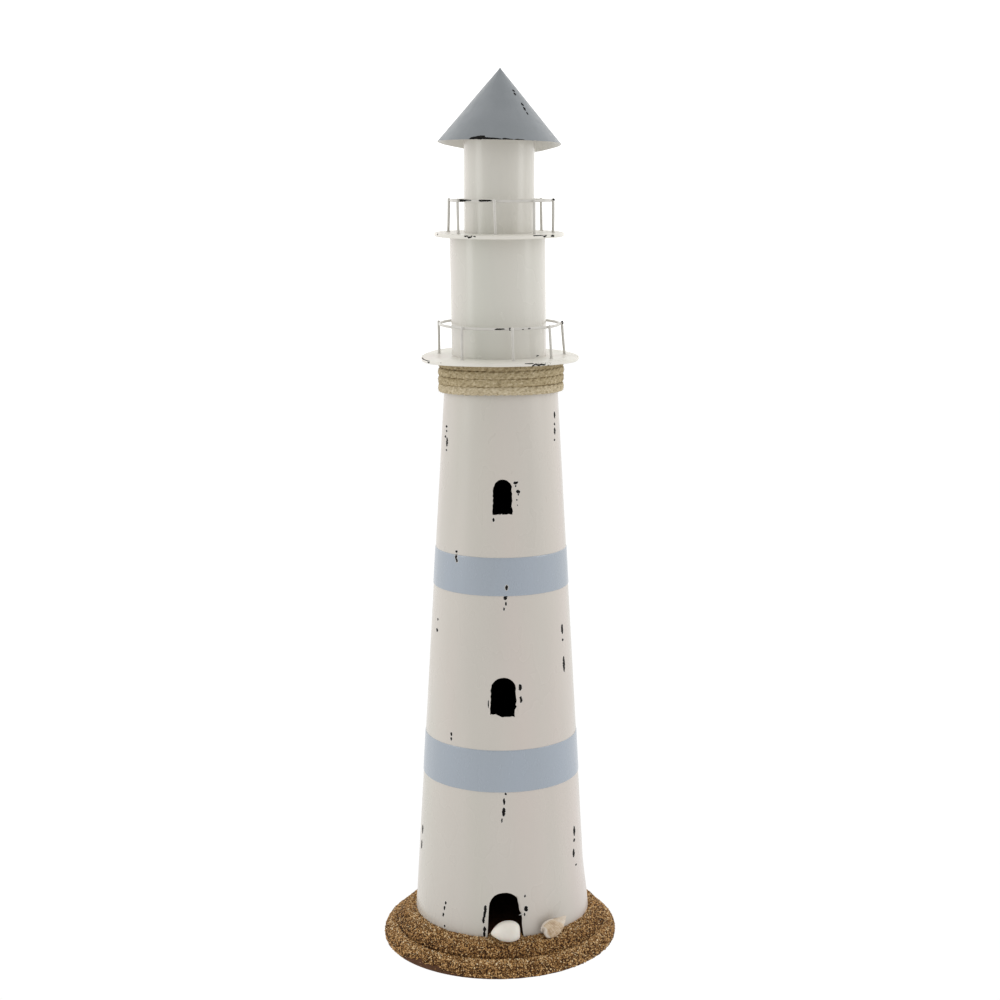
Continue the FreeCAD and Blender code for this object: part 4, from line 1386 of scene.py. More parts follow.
def build_sand_lower():
    rs = np.random.RandomState(311)
    # outer line of the coat, without the grains on it
    prof = [(101.85, 0.0), (102.35, 3.0), (102.05, 5.8), (100.9, 8.4),
            (99.0, 10.6), (96.4, 12.1), (93.4, 12.7), (89.6, 12.75)]
    inner = [(101.25, 0.0), (101.75, 3.0), (101.4, 5.6), (99.9, 8.1),
             (97.8, 10.2), (95.4, 11.6), (92.6, 12.2), (89.6, 12.25)]
    total = along(prof, 0.0)[2]
    total_i = along(inner, 0.0)[2]
    na, ns = 384, 18
    out_v, in_v = [], []
    for i in range(na):
        az = -180.0 + 360.0 * i / na
        s0 = float(bare_height(az))
        si = s0
        more = float(bulge(az))
        s_, c_ = math.sin(rad(az)), math.cos(rad(az))
        for j in range(ns + 1):
            u = j / ns
            s = s0 + (total - s0) * u
            r, z, _ = along(prof, s)
            ri, zi, _ = along(inner, si + (total_i - si) * u)
            d = 0.30 * float(noise(az * 1.6, s * 0.9, 2.0))
            if j == 0:
                d = -0.45
            if j == ns:
                d = 0.0
            side = 1.0 if s < 9.5 else 0.0
            r += d * (0.9 if side else 0.25) + more
            z += d * (0.0 if side else 0.9)
            ri += more
            out_v.append((r * s_, -r * c_, z))
            in_v.append((ri * s_, -ri * c_, zi))
    f = grid_faces(na, ns + 1, wrap_u=True)
    v, f, kinds = solid_sheet(np.array(out_v), np.array(in_v), f)
    v[:, :2] = np.clip(v[:, :2], -105.2, 105.2)
    m = Mesh()
    # the coat under the grains is very dark: painted shade in the gaps between
    # the grains
    m.add(v, f, 0, False, 0.09 + 0.09 * noise(v[:, 0] / 1.1, v[:, 1] / 1.1,
                                              v[:, 2] / 1.1))
    # grains
    count = 14250
    area_w = []
    ss = np.linspace(0, total, 400)
    rr = np.array([along(prof, s)[0] for s in ss])
    cum = np.concatenate([[0], np.cumsum(0.5 * (rr[1:] + rr[:-1])
                                         * np.diff(ss))])
    pitch = math.sqrt(cum[-1] * 2 * math.pi / count)
    cen, size, shade = [], [], []
    s_pos = np.arange(pitch * 0.5, total, pitch)
    for s in s_pos:
        r0 = along(prof, s)[0]
        nn = int(2 * math.pi * r0 / pitch)
        azs = (np.arange(nn) + rs.rand(nn) * 0.9) * 360.0 / nn - 180.0
        sj = np.clip(s + (rs.rand(nn) - 0.5) * pitch * 0.95, 0, total)
        keep = sj > bare_height(azs) + 0.1
        # a few lone grains on the bare strip
        keep |= rs.rand(nn) < 0.03
        for az, sv in zip(azs[keep], sj[keep]):
            r, z, _ = along(prof, sv)
            r += float(bulge(az))
            q = rs.rand()
            sz = 0.47 + 0.46 * q * q + (0.28 if rs.rand() < 0.06 else 0.0)
            up = 0.40 * rs.rand()
            if sv < bare_height(az):
                r += 0.35
            if sv < 9.0:
                r += up
            else:
                z += up
            cen.append((r * math.sin(rad(az)), -r * math.cos(rad(az)), z))
            size.append(sz)
            # painted light and shade: paler on the ledge, which faces up, and
            # darker in the corner under the upper tier
            shade.append(-0.09 + 0.15 * float(step01((sv - 9.0) / 4.0))
                         - 0.30 * float(step01((sv - 18.6) / 1.6)))
    grains(m, np.array(cen), np.array(size), rs, 105.2, 0.04, np.array(shade))
    return m.build("v_base_sand_lower_tier", [SAND], ["base_sand_lower_tier"],
                   sharp=None, attribute="tone")


def foot_line(az):
    """Radius where the sand meets the tower; it runs in at the doorway."""
    az = np.asarray(az, float)
    r = tower_r(25.0) + 0.12 + T_X * np.sin(np.radians(az))
    door = ((az > -7.6) & (az < 15.2)).astype(float)
    return r - 8.6 * door


def build_sand_upper():
    rs = np.random.RandomState(977)
    prof = [(92.1, 12.6), (92.0, 15.2), (91.3, 17.6), (89.7, 20.2),
            (87.2, 22.4), (84.0, 23.8), (80.6, 24.3), (78.2, 24.6),
            (66.0, 24.8)]

    def lean(az, z):
        # the sides slope more than the front
        k = float(step01((abs((az + 180.0) % 360.0 - 180.0) - 48.0) / 34.0))
        return -1.55 * k * float(step01((z - 13.5) / 5.0)) * float(
            step01((25.4 - z) / 2.4))
    inner = [(91.2, 12.6), (91.1, 14.9), (90.4, 16.9), (88.7, 19.3),
             (86.2, 21.4), (83.0, 22.6), (80.0, 22.9), (66.0, 22.9)]
    na, ns = 384, 18
    out_v, in_v = [], []
    for i in range(na):
        az = -180.0 + 360.0 * i / na
        r_end = float(foot_line(az))
        total = along(prof, 0.0)[2] - (r_end - 66.0)
        total_i = along(inner, 0.0)[2] - (r_end - 66.0)
        more = float(bulge(az, True))
        for j in range(ns + 1):
            u = j / ns
            s = total * u
            r, z, _ = along(prof, s)
            ri, zi, _ = along(inner, total_i * u)
            d = 0.30 * float(noise(az * 1.5, s * 0.9, 22.0))
            if j in (0, ns):
                d *= 0.3
            if s < 6.0:
                r += d
            else:
                z += d
            r += more * float(step01((r - 79.5) / 8.0)) + lean(az, z)
            ri += more * float(step01((ri - 79.5) / 8.0)) + lean(az, zi)
            s_, c_ = math.sin(rad(az)), math.cos(rad(az))
            out_v.append((r * s_, -r * c_, z))
            in_v.append((ri * s_, -ri * c_, zi))
    f = grid_faces(na, ns + 1, wrap_u=True)
    v, f, kinds = solid_sheet(np.array(out_v), np.array(in_v), f)
    m = Mesh()
    # the coat under the grains is very dark: painted shade in the gaps between
    # the grains
    m.add(v, f, 0, False, 0.11 + 0.09 * noise(v[:, 0] / 1.1, v[:, 1] / 1.1,
                                              v[:, 2] / 1.1))
    count = 14100
    full = along(prof, 0.0)[2]
    ss = np.linspace(0, full - 10.0, 400)
    rr = np.array([along(prof, s)[0] for s in ss])
    area = float(np.sum(0.5 * (rr[1:] + rr[:-1]) * np.diff(ss))) * 2 * math.pi
    pitch = math.sqrt(area / count)
    cen, size, shade = [], [], []
    for s in np.arange(pitch * 0.3, full, pitch):
        r0 = along(prof, s)[0]
        nn = int(2 * math.pi * r0 / pitch)
        azs = (np.arange(nn) + rs.rand(nn) * 0.9) * 360.0 / nn - 180.0
        sj = np.clip(s + (rs.rand(nn) - 0.5) * pitch * 0.95, 0, full)
        lim = full - (foot_line(azs) - 66.0) - 0.35
        for az, sv, lm in zip(azs, sj, lim):
            if sv > lm:
                continue
            r, z, _ = along(prof, sv)
            q = rs.rand()
            r += (float(bulge(az, True)) * float(step01((r - 79.5) / 8.0))
                  + lean(az, z))
            sz = 0.47 + 0.44 * q * q + (0.28 if rs.rand() < 0.06 else 0.0)
            up = 0.40 * rs.rand()
            # a few grains climb a little up the wall
            if lm - sv < 1.3:
                up += 0.5 * rs.rand() ** 2
            if sv < 6.0:
                r += up
            else:
                z += up
            cen.append((r * math.sin(rad(az)), -r * math.cos(rad(az)), z))
            size.append(sz)
            # painted shade at the foot of the side and painted light on the top,
            # which faces up
            shade.append(-0.13 - 0.22 * float(step01((4.5 - sv) / 4.0))
                         + 0.16 * float(step01((sv - 9.5) / 4.5)))
    grains(m, np.array(cen), np.array(size), rs, 103.0, 0.05, np.array(shade))
    return m.build("v_base_sand_upper_tier", [SAND], ["base_sand_upper_tier"],
                   sharp=None, attribute="tone")


build_sand_lower()
build_sand_upper()

# ------------------------------------------------------------------- boards
SCREWS = [(T_X + 66.5 * math.sin(rad(a)), -66.5 * math.cos(rad(a)))
          for a in (75.0, 195.0, -60.0)]


def build_board(name, prof, extra, bore):
    """Disc with a shaped edge, prof runs from the bottom to the top of it;
    bore is the section of the screw holes."""
    na, nh, k = 288, 28, len(prof)
    verts, faces = [], []
    for i in range(na):
        a = -180.0 + 360.0 * i / na
        for r, z in prof:
            rr = r + float(extra(a, z))
            verts.append((rr * math.sin(rad(a)), -rr * math.cos(rad(a)), z))
    faces += grid_faces(na, k, wrap_u=True)
    low, high = [], []
    for cx, cy in SCREWS:
        n0 = len(verts)
        for j in range(nh):
            b = 2 * math.pi * j / nh
            for r, z in bore:
                verts.append((cx + r * math.sin(b), cy - r * math.cos(b), z))
        for f in grid_faces(nh, len(bore), wrap_u=True, flip=True):
            faces.append(tuple(i + n0 for i in f))
        low.append([n0 + j * len(bore) for j in range(nh)])
        high.append([n0 + j * len(bore) + len(bore) - 1 for j in range(nh)])
    for ring, holes, up in (([i * k for i in range(na)], low, False),
                            ([i * k + k - 1 for i in range(na)], high, True)):
        loops = [ring] + holes
        ids = [i for lp in loops for i in lp]
        where = {g: n for n, g in enumerate(ids)}
        edges = [(where[p], where[q]) for lp in loops
                 for p, q in zip(lp, lp[1:] + lp[:1])]
        loc = [verts[i][:2] for i in ids]
        vs, _, fs, ov, _, _ = delaunay_2d_cdt([Vector(p) for p in loc], edges,
                                              [], 0, 1e-6)
        back = [o[0] if o else None for o in ov]
        cen = np.array([[sum(vs[i][0] for i in f) / 3.0,
                         sum(vs[i][1] for i in f) / 3.0] for f in fs])
        ok = inside(cen, [verts[i][:2] for i in ring])
        for lp in holes:
            ok &= ~inside(cen, [verts[i][:2] for i in lp])
        for f, good in zip(fs, ok):
            if not good or any(back[i] is None for i in f):
                continue
            g = [ids[back[i]] for i in f]
            p = [verts[i] for i in g]
            area = ((p[1][0] - p[0][0]) * (p[2][1] - p[0][1])
                    - (p[2][0] - p[0][0]) * (p[1][1] - p[0][1]))
            faces.append(tuple(g) if (area > 0) == up else tuple(g[::-1]))
    m = Mesh()
    m.add(verts, faces)
    return m.build("v_" + name, [BOARD], [name], sharp=45)


def low_edge(a, z):
    # where the sand is missing the edge of the board is full
    swell = 1.55 * float(step01((float(bare_height(a)) - z + 0.4) / 1.3))
    return float(bulge(a)) + swell


build_board("base_lower_board",
            [(100.9, 0.0), (101.3, 0.4), (101.4, 1.2), (101.5, 2.4),
             (101.45, 3.4), (101.3, 4.4), (101.0, 5.4), (100.3, 6.5),
             (99.3, 7.8), (97.1, 9.8), (94.8, 11.2), (91.5, 12.0)],
            low_edge, [(4.4, 0.0), (4.4, 3.4), (1.9, 3.4), (1.9, 12.0)])
build_board("base_upper_board",
            [(88.6, 12.0), (88.8, 13.6), (88.2, 16.0), (86.6, 18.6),
             (84.4, 20.7), (82.0, 22.0), (79.5, 22.5)],
            lambda a, z: float(bulge(a, True)) * float(
                step01((22.5 - z) / 2.0)),
            [(1.9, 12.0), (1.9, 22.5)])

# -------------------------------------------------------- clips, screws (CAD)
for node, mat, slot_name in (("tower_foot_clips", ZINC, "zinc"),
                             ("tower_foot_screws", ZINC, "zinc")):
    ob = NODES[node]
    ob.data.materials.clear()
    ob.data.materials.append(mat)


# -------------------------------------------------------------------- pebble
def build_pebble():
    """Egg-like stone: outline as half length, top and bottom (mm)."""
    xs = np.array([-12.65, -12.5, -12.1, -11.3, -9.3, -6.1, -2.7, 0.2, 4.6,
                   8.3, 11.2, 12.3, 12.7, 12.8])
    top = np.array([-2.0, -1.1, -0.2, 1.1, 3.6, 6.6, 8.3, 9.0, 9.3, 8.3, 5.9,
                    3.6, 1.2, -1.2])
    low = np.array([-2.0, -2.6, -3.3, -4.0, -5.2, -6.9, -8.2, -8.7, -8.9,
                    -8.1, -6.6, -5.6, -4.2, -1.2])
    nu, nv = 64, 44
    v = []
    for i in range(1, nv):
        x = -12.65 + 25.45 * 0.5 * (1 - math.cos(math.pi * i / nv))
        t, b = float(np.interp(x, xs, top)), float(np.interp(x, xs, low))
        c, h = 0.5 * (t + b), max(0.5 * (t - b), 0.25)
        for j in range(nu):
            a = 2 * math.pi * j / nu
            v.append((x, 1.05 * h * math.cos(a), c + h * math.sin(a)))
    v.append((-12.65, 0, -2.0))
    v.append((12.8, 0, -1.2))
    v = np.array(v)
    # even out the rings
    ring = v[:-2].reshape(nv - 1, nu, 3)
    for _ in range(2):
        ring[1:-1] = (0.25 * ring[:-2] + 0.5 * ring[1:-1] + 0.25 * ring[2:])
    v[:-2] = ring.reshape(-1, 3)
    v *= (0.993 + 0.014 * noise(v[:, 0] / 6.0 + 5, v[:, 1] / 6.0,
                                v[:, 2] / 6.0))[:, None]
    v = apply(shift(4.9, -83.9, 34.1), v)
    f = grid_faces(nv - 1, nu, wrap_v=True)
    n = (nv - 1) * nu
    for j in range(nu):
        j2 = (j + 1) % nu
        f.append((n, j, j2))
        f.append((n + 1, (nv - 2) * nu + j2, (nv - 2) * nu + j))
    m = Mesh()
    m.add(v, f)
    return m.build("v_doorway_pebble", [PEBBLE], ["doorway_pebble"],
                   sharp=None)


build_pebble()


# ----------------------------------------------------------------- sea shell
def build_snail():
    w = Vector((0.77, 0.47, 0.43)).normalized()
    u = Vector((0.0, 0.0, 1.0))
    u = (u - w * u.dot(w)).normalized()
    vv = w.cross(u)
    o = Vector((44.1, -71.9, 32.7))
    q, length = 0.60, 17.0
    sides = 88
    rings, tones = [], []
    theta0 = rad(-25.0)

    def section(t, scale, flare=0.0, orn=1.0):
        g = q ** max(t - 0.45, 0.0)
        th = theta0 + 2 * math.pi * t
        er = u * math.cos(th) + vv * math.sin(th)
        rho = 3.3 * g
        sc = (length - 1.6) * (1 - g) + 1.6 * min(max(t, 0.0) / 0.45, 1.0)
        pts, tone = [], []
        for j in range(sides):
            psi = 2 * math.pi * j / sides
            rib = 0.5 + 0.5 * math.cos(2 * math.pi * 30 * t)
            cord = 0.5 + 0.5 * math.cos(21 * psi)
            h = g * orn * 0.26 * (max(rib, cord) - 0.35)
            c, s = math.cos(psi), math.sin(psi)
            ra = (3.75 * g + h + flare) * scale
            rb = (7.0 * g + h + flare) * scale
            if s < 0.0:
                c = math.copysign(abs(c) ** 0.6, c)
            x = ra * c
            y = rb * s * (1.0 + 0.02 * max(0.0, -s)) - 0.10 * rb * c
            pts.append(o + er * (rho + x) + w * (sc + y))
            # paler where ribs and cords cross and lower between them: painted
            # light on the crests and painted shade in the grooves
            tone.append(0.12 + 0.62 * step01((t - 0.85) / 0.5)
                        + 0.30 * rib * cord * orn * (1 if t < 1.1 else 0.3)
                        - 0.32 * (1 - max(rib, cord)) * orn
                        + 0.75 * step01((-s - 0.80) / 0.07)
                        - 0.80 * math.exp(-((-s - 0.74) / 0.045) ** 2))
        return [tuple(p) for p in pts], tone
    for t, sc, fl, on, tn in ([(0.30 - 0.05 * i, 0.70, 0.0, 0.0, 0.35)
                               for i in range(6)]
                              + [(0.02, 0.74, 0.0, 0.0, 0.9),
                                 (0.005, 0.84, 0.1, 0.0, 1.0),
                                 (-0.002, 0.95, 0.3, 0.0, 1.0),
                                 (0.002, 1.0, 0.62, 0.0, 1.0),
                                 (0.016, 1.0, 0.62, 0.0, 1.0),
                                 (0.028, 1.0, 0.05, 0.0, 0.7),
                                 (0.036, 1.0, -0.10, 0.2, 0.2),
                                 (0.044, 1.0, 0.12, 0.6, 0.9),
                                 (0.056, 1.0, 0.30, 0.4, 1.0),
                                 (0.068, 1.0, 0.10, 0.8, 0.6)]):
        p, tone = section(t, sc, fl, on)
        rings.append(p)
        tones.append([tn] * sides)
    t = 0.075
    while t < 4.6:
        p, tone = section(t, 1.0)
        rings.append(p)
        tones.append(tone)
        t += 0.0068 if t < 1.2 else (0.010 if t < 2.4 else 0.02)
    v = np.array(rings).reshape(-1, 3)
    # the body whorl is fuller towards the foot, and the spire longer: the
    # outline seen from the front, from its middle (mm, right and up)
    cx, cz = 45.6, 31.9
    goal = np.array([(-10.6, -2.4), (-9.9, 1.6), (-8.3, 4.6), (-5.2, 6.6),
                     (-1.7, 7.5), (2.2, 7.8), (7.0, 8.9), (13.2, 9.4),
                     (12.4, 6.0), (10.6, 2.2), (8.5, -1.3), (5.9, -4.7),
                     (3.3, -7.0), (-1.1, -8.0), (-6.3, -7.6), (-9.5, -5.5)])
    pa = np.arctan2(goal[:, 1], goal[:, 0])
    pr = np.hypot(goal[:, 0], goal[:, 1])
    o1 = np.argsort(pa)
    dx = v[:, 0] - cx
    dz = (v[:, 2] - cz) + 0.169 * (v[:, 1] + 72.0)
    va, vr = np.arctan2(dz, dx), np.hypot(dx, dz)
    bins = 60
    slot = ((va + math.pi) / (2 * math.pi) * bins).astype(int) % bins
    far = np.array([vr[slot == i].max() if (slot == i).any() else 1.0
                    for i in range(bins)])
    for _ in range(3):
        far = np.maximum(far, 0.25 * np.roll(far, 1) + 0.5 * far
                         + 0.25 * np.roll(far, -1))
    mid = (np.arange(bins) + 0.5) / bins * 2 * math.pi - math.pi
    want = np.interp(mid, pa[o1], pr[o1], period=2 * math.pi)
    ratio = np.clip(want / far, 0.75, 1.6)
    for _ in range(2):
        ratio = (0.25 * np.roll(ratio, 1) + 0.5 * ratio
                 + 0.25 * np.roll(ratio, -1))
    k1 = np.interp(va, mid, ratio, period=2 * math.pi)
    # the middle of the shell keeps its shape, its rim follows the outline
    k1 = 1.0 + (k1 - 1.0) * step01(vr / 5.0)
    v[:, 0] = cx + dx * k1
    v[:, 2] += dz * (k1 - 1.0)
    v[:, 2] = np.maximum(v[:, 2], 23.6)
    f = grid_faces(len(rings), sides, wrap_v=True)
    f.append(tuple(range(sides)))
    k = len(rings)
    f.append(tuple(range(k * sides - 1, (k - 1) * sides - 1, -1)))
    m = Mesh()
    m.add(v, f, 0, True, np.clip(np.array(tones).ravel(), 0, 1))
    return m.build("v_sea_snail_shell", [SHELL], ["sea_snail_shell"],
                   sharp=None, attribute="tone")


build_snail()


# ------------------------------------------------------------- paint chips
def chip(m, fn, a0, z0, w, h, per_deg, lift, seed, mat, grow=0.0):
    """Thin ragged plate on a surface fn(a, z, lift); per_deg is mm per degree
    of a. w and h in mm."""
    rs = np.random.RandomState(seed)
    tall = h >= w
    long_, short = (h, w) if tall else (w, h)
    long_, short = long_ + grow, short + grow
    n = max(4, int(long_ / 0.55))
    left, right = [], []
    for i in range(n + 1):
        u = -1 + 2.0 * i / n
        k = max(0.10, (1 - abs(u) ** 2.4)) ** 0.6
        mid = (rs.rand() - 0.5) * 0.22 * short
        hw = 0.5 * short * k * (0.72 + 0.4 * rs.rand())
        p = 0.5 * long_ * u
        left.append((p, mid - hw))
        right.append((p, mid + hw))
    out = []
    for lf in (lift, lift - 0.12):
        for line in (left, right):
            for p, s in line:
                da, dz = (s, p) if tall else (p, -s)
                out.append((a0 + da / per_deg, z0 + dz, lf))
    out = np.array(out)
    v = fn(out[:, 0], out[:, 1], out[:, 2])
    k = n + 1
    f = []
    for i in range(n):
        f.append((i, k + i, k + i + 1, i + 1))
        f.append((2 * k + i, 2 * k + i + 1, 3 * k + i + 1, 3 * k + i))
        f.append((i, i + 1, 2 * k + i + 1, 2 * k + i))
        f.append((k + i + 1, k + i, 3 * k + i, 3 * k + i + 1))
    f.append((0, 2 * k, 3 * k, k))
    f.append((n, k + n, 3 * k + n, 2 * k + n))
    m.add(v, f, mat, False)


def strip(m, fn, rows, lift, seed, mat=0, gain=1.0):
    """Thin ragged plate given by (a, low, high) on a surface fn(a, z, lift);
    it is split finely so that it follows the surface."""
    rs = np.random.RandomState(seed)
    rows = np.array(rows, float)
    grow = 0.5 * (gain - 1.0) * (rows[:, 2] - rows[:, 1])
    rows[:, 1] -= grow
    rows[:, 2] += grow
    fine = [rows[0]]
    for p, q in zip(rows[:-1], rows[1:]):
        n = max(1, int(math.ceil((q[0] - p[0]) / 0.9)))
        for i in range(1, n + 1):
            fine.append(p + (q - p) * i / n)
    fine = np.array(fine)
    k, cross = len(fine), 5
    wob = (rs.rand(k, 2) - 0.5) * 0.22 * (fine[:, 2] - fine[:, 1])[:, None]
    wob[0] = wob[-1] = 0
    lo, hi = fine[:, 1] + wob[:, 0], fine[:, 2] + wob[:, 1]
    v = []
    for lf in (lift, lift - 0.12):
        for j in range(cross):
            v.append(fn(fine[:, 0], lo + (hi - lo) * j / (cross - 1),
                        lf * np.ones(k)))
    v = np.concatenate([x.reshape(-1, 3) for x in v])
    n = k * cross

    def at(i, j):
        return j * k + i
    f = []
    for j in range(cross - 1):
        for i in range(k - 1):
            q = (at(i, j), at(i + 1, j), at(i + 1, j + 1), at(i, j + 1))
            f.append(q)
            f.append(tuple(x + n for x in q[::-1]))
    rim = ([at(i, 0) for i in range(k)] + [at(k - 1, j)
                                           for j in range(1, cross)]
           + [at(i, cross - 1) for i in range(k - 2, -1, -1)]
           + [at(0, j) for j in range(cross - 2, 0, -1)])
    for a, b in zip(rim, rim[1:] + rim[:1]):
        f.append((b, a, a + n, b + n))
    m.add(v, f, mat, False)


# azimuth, height, width, height of each chip on the tower
TOWER_CHIPS = [
    (-66.1, 461.6, 3.4, 2.1), (-65.5, 457.8, 2.5, 1.7),
    (-67.7, 452.8, 3.4, 2.2), (-63.4, 448.6, 3.0, 6.9),
    (-63.8, 441.7, 2.3, 1.7), (65.9, 471.4, 2.9, 5.2),
    (64.6, 463.8, 2.4, 2.1), (64.3, 457.9, 3.1, 5.2),
    (62.8, 450.4, 2.4, 1.7), (13.4, 418.0, 3.5, 2.5),
    (13.4, 415.3, 1.1, 1.7), (15.6, 410.5, 3.1, 2.8),
    (15.8, 408.0, 1.1, 1.5), (14.2, 403.5, 1.2, 1.4),
    (14.8, 399.0, 0.8, 1.0), (-6.6, 387.0, 1.7, 3.1),
    (-41.7, 357.4, 2.3, 1.9), (-41.5, 352.8, 2.0, 4.3),
    (-40.4, 349.9, 1.8, 2.6), (4.6, 329.6, 1.9, 3.9),
    (3.7, 320.9, 3.0, 3.4), (4.0, 315.9, 1.4, 3.0), (2.5, 311.4, 1.2, 2.6),
    (-64.4, 294.4, 2.0, 2.1), (-64.8, 284.9, 3.3, 3.1),
    (60.1, 286.9, 3.1, 7.9), (60.4, 277.1, 2.4, 2.2),
    (60.4, 255.9, 3.5, 12.3), (14.9, 243.6, 2.7, 5.0),
    (15.2, 233.1, 2.8, 5.0), (-9.6, 229.6, 0.8, 6.0),
    (-40.3, 199.1, 2.0, 3.0), (-40.1, 194.9, 1.8, 2.6),
    (3.4, 151.7, 1.7, 1.9), (2.2, 145.1, 1.7, 5.2), (1.9, 135.9, 2.6, 6.9),
    (0.6, 128.5, 1.2, 3.5), (64.3, 104.4, 3.7, 8.0), (63.6, 96.4, 3.2, 2.7),
    (61.8, 85.3, 3.4, 6.7), (64.6, 73.5, 2.9, 1.8), (-75.2, 101.4, 3.5, 7.2),
    (-75.9, 87.2, 3.6, 7.2), (-39.9, 48.6, 1.8, 2.6), (-40.9, 43.7, 1.8, 3.5),
    (-41.7, 37.4, 1.9, 3.1), (-40.2, 27.7, 1.4, 2.2),
    (-10.3, 49.8, 2.2, 6.4), (-10.9, 45.0, 2.1, 5.4),
    (-11.6, 39.8, 2.0, 5.2), (-10.7, 31.7, 2.4, 4.8), (-10.9, 27.4, 1.9, 4.2),
    (16.2, 60.8, 1.3, 2.3), (16.8, 49.4, 3.1, 4.4), (15.8, 44.5, 1.3, 2.6)]


def build_tower_chips():
    m = Mesh()
    bands = ((322.4, 354.8), (153.1, 189.4))
    for i, (a, z, w, h) in enumerate(TOWER_CHIPS):
        k = rad(1.0) * tower_r(z)
        over = 0.45 if any(lo < z < hi for lo, hi in bands) else 0.0

        def fn(aa, zz, lf, over=over):
            return on_tower(aa, zz, lf + over)
        w, h = w * 1.18 + 0.1, h * 1.12 + 0.1
        chip(m, fn, a, z, w, h, k, 0.035, 500 + i, 1, 0.8)
        chip(m, fn, a, z, w, h, k, 0.075, 500 + i, 0)
    return m.build("v_tower_paint_chips", [CHIP, HALO], (),
                   sharp=None)


build_tower_chips()


def build_roof_chips():
    m = Mesh()

    def fn(aa, zz, lf):
        return roof_point(aa, zz / ROOF_H, lf)
    for i, (a, t, w, h) in enumerate([
            (44.7, 0.681, 1.8, 1.3), (42.3, 0.636, 1.7, 1.7),
            (46.7, 0.497, 1.7, 2.0), (45.1, 0.435, 1.8, 2.5),
            (45.6, 0.374, 1.3, 1.8)]):
        chip(m, fn, a, t * ROOF_H, w * 1.4, h * 1.35,
             rad(1.0) * ROOF_R * (1 - t), 0.06, 700 + i, 0)
    # along the front of the rim
    strip(m, fn, [(-28.2, 0.03, 0.5), (-26.8, 0.03, 1.6), (-24.4, 0.03, 2.3),
                  (-22.0, 0.03, 2.6), (-19.4, 0.03, 3.0), (-15.6, 0.03, 3.3),
                  (-13.4, 0.03, 3.0), (-12.7, 0.03, 1.9), (-9.0, 0.03, 1.6),
                  (-5.0, 0.03, 1.4), (-2.0, 0.03, 1.3), (2.3, 0.03, 0.7)],
          0.06, 41)
    strip(m, fn, [(3.0, 0.03, 0.6), (4.0, 0.03, 1.4), (8.0, 0.03, 1.15),
                  (13.0, 0.03, 0.5)], 0.06, 42)
    strip(m, fn, [(14.2, 0.03, 0.4), (17.0, 0.03, 0.9), (23.8, 0.03, 0.4)],
          0.06, 43)
    return m.build("v_roof_paint_chips", [CHIP], (), sharp=None)


build_roof_chips()


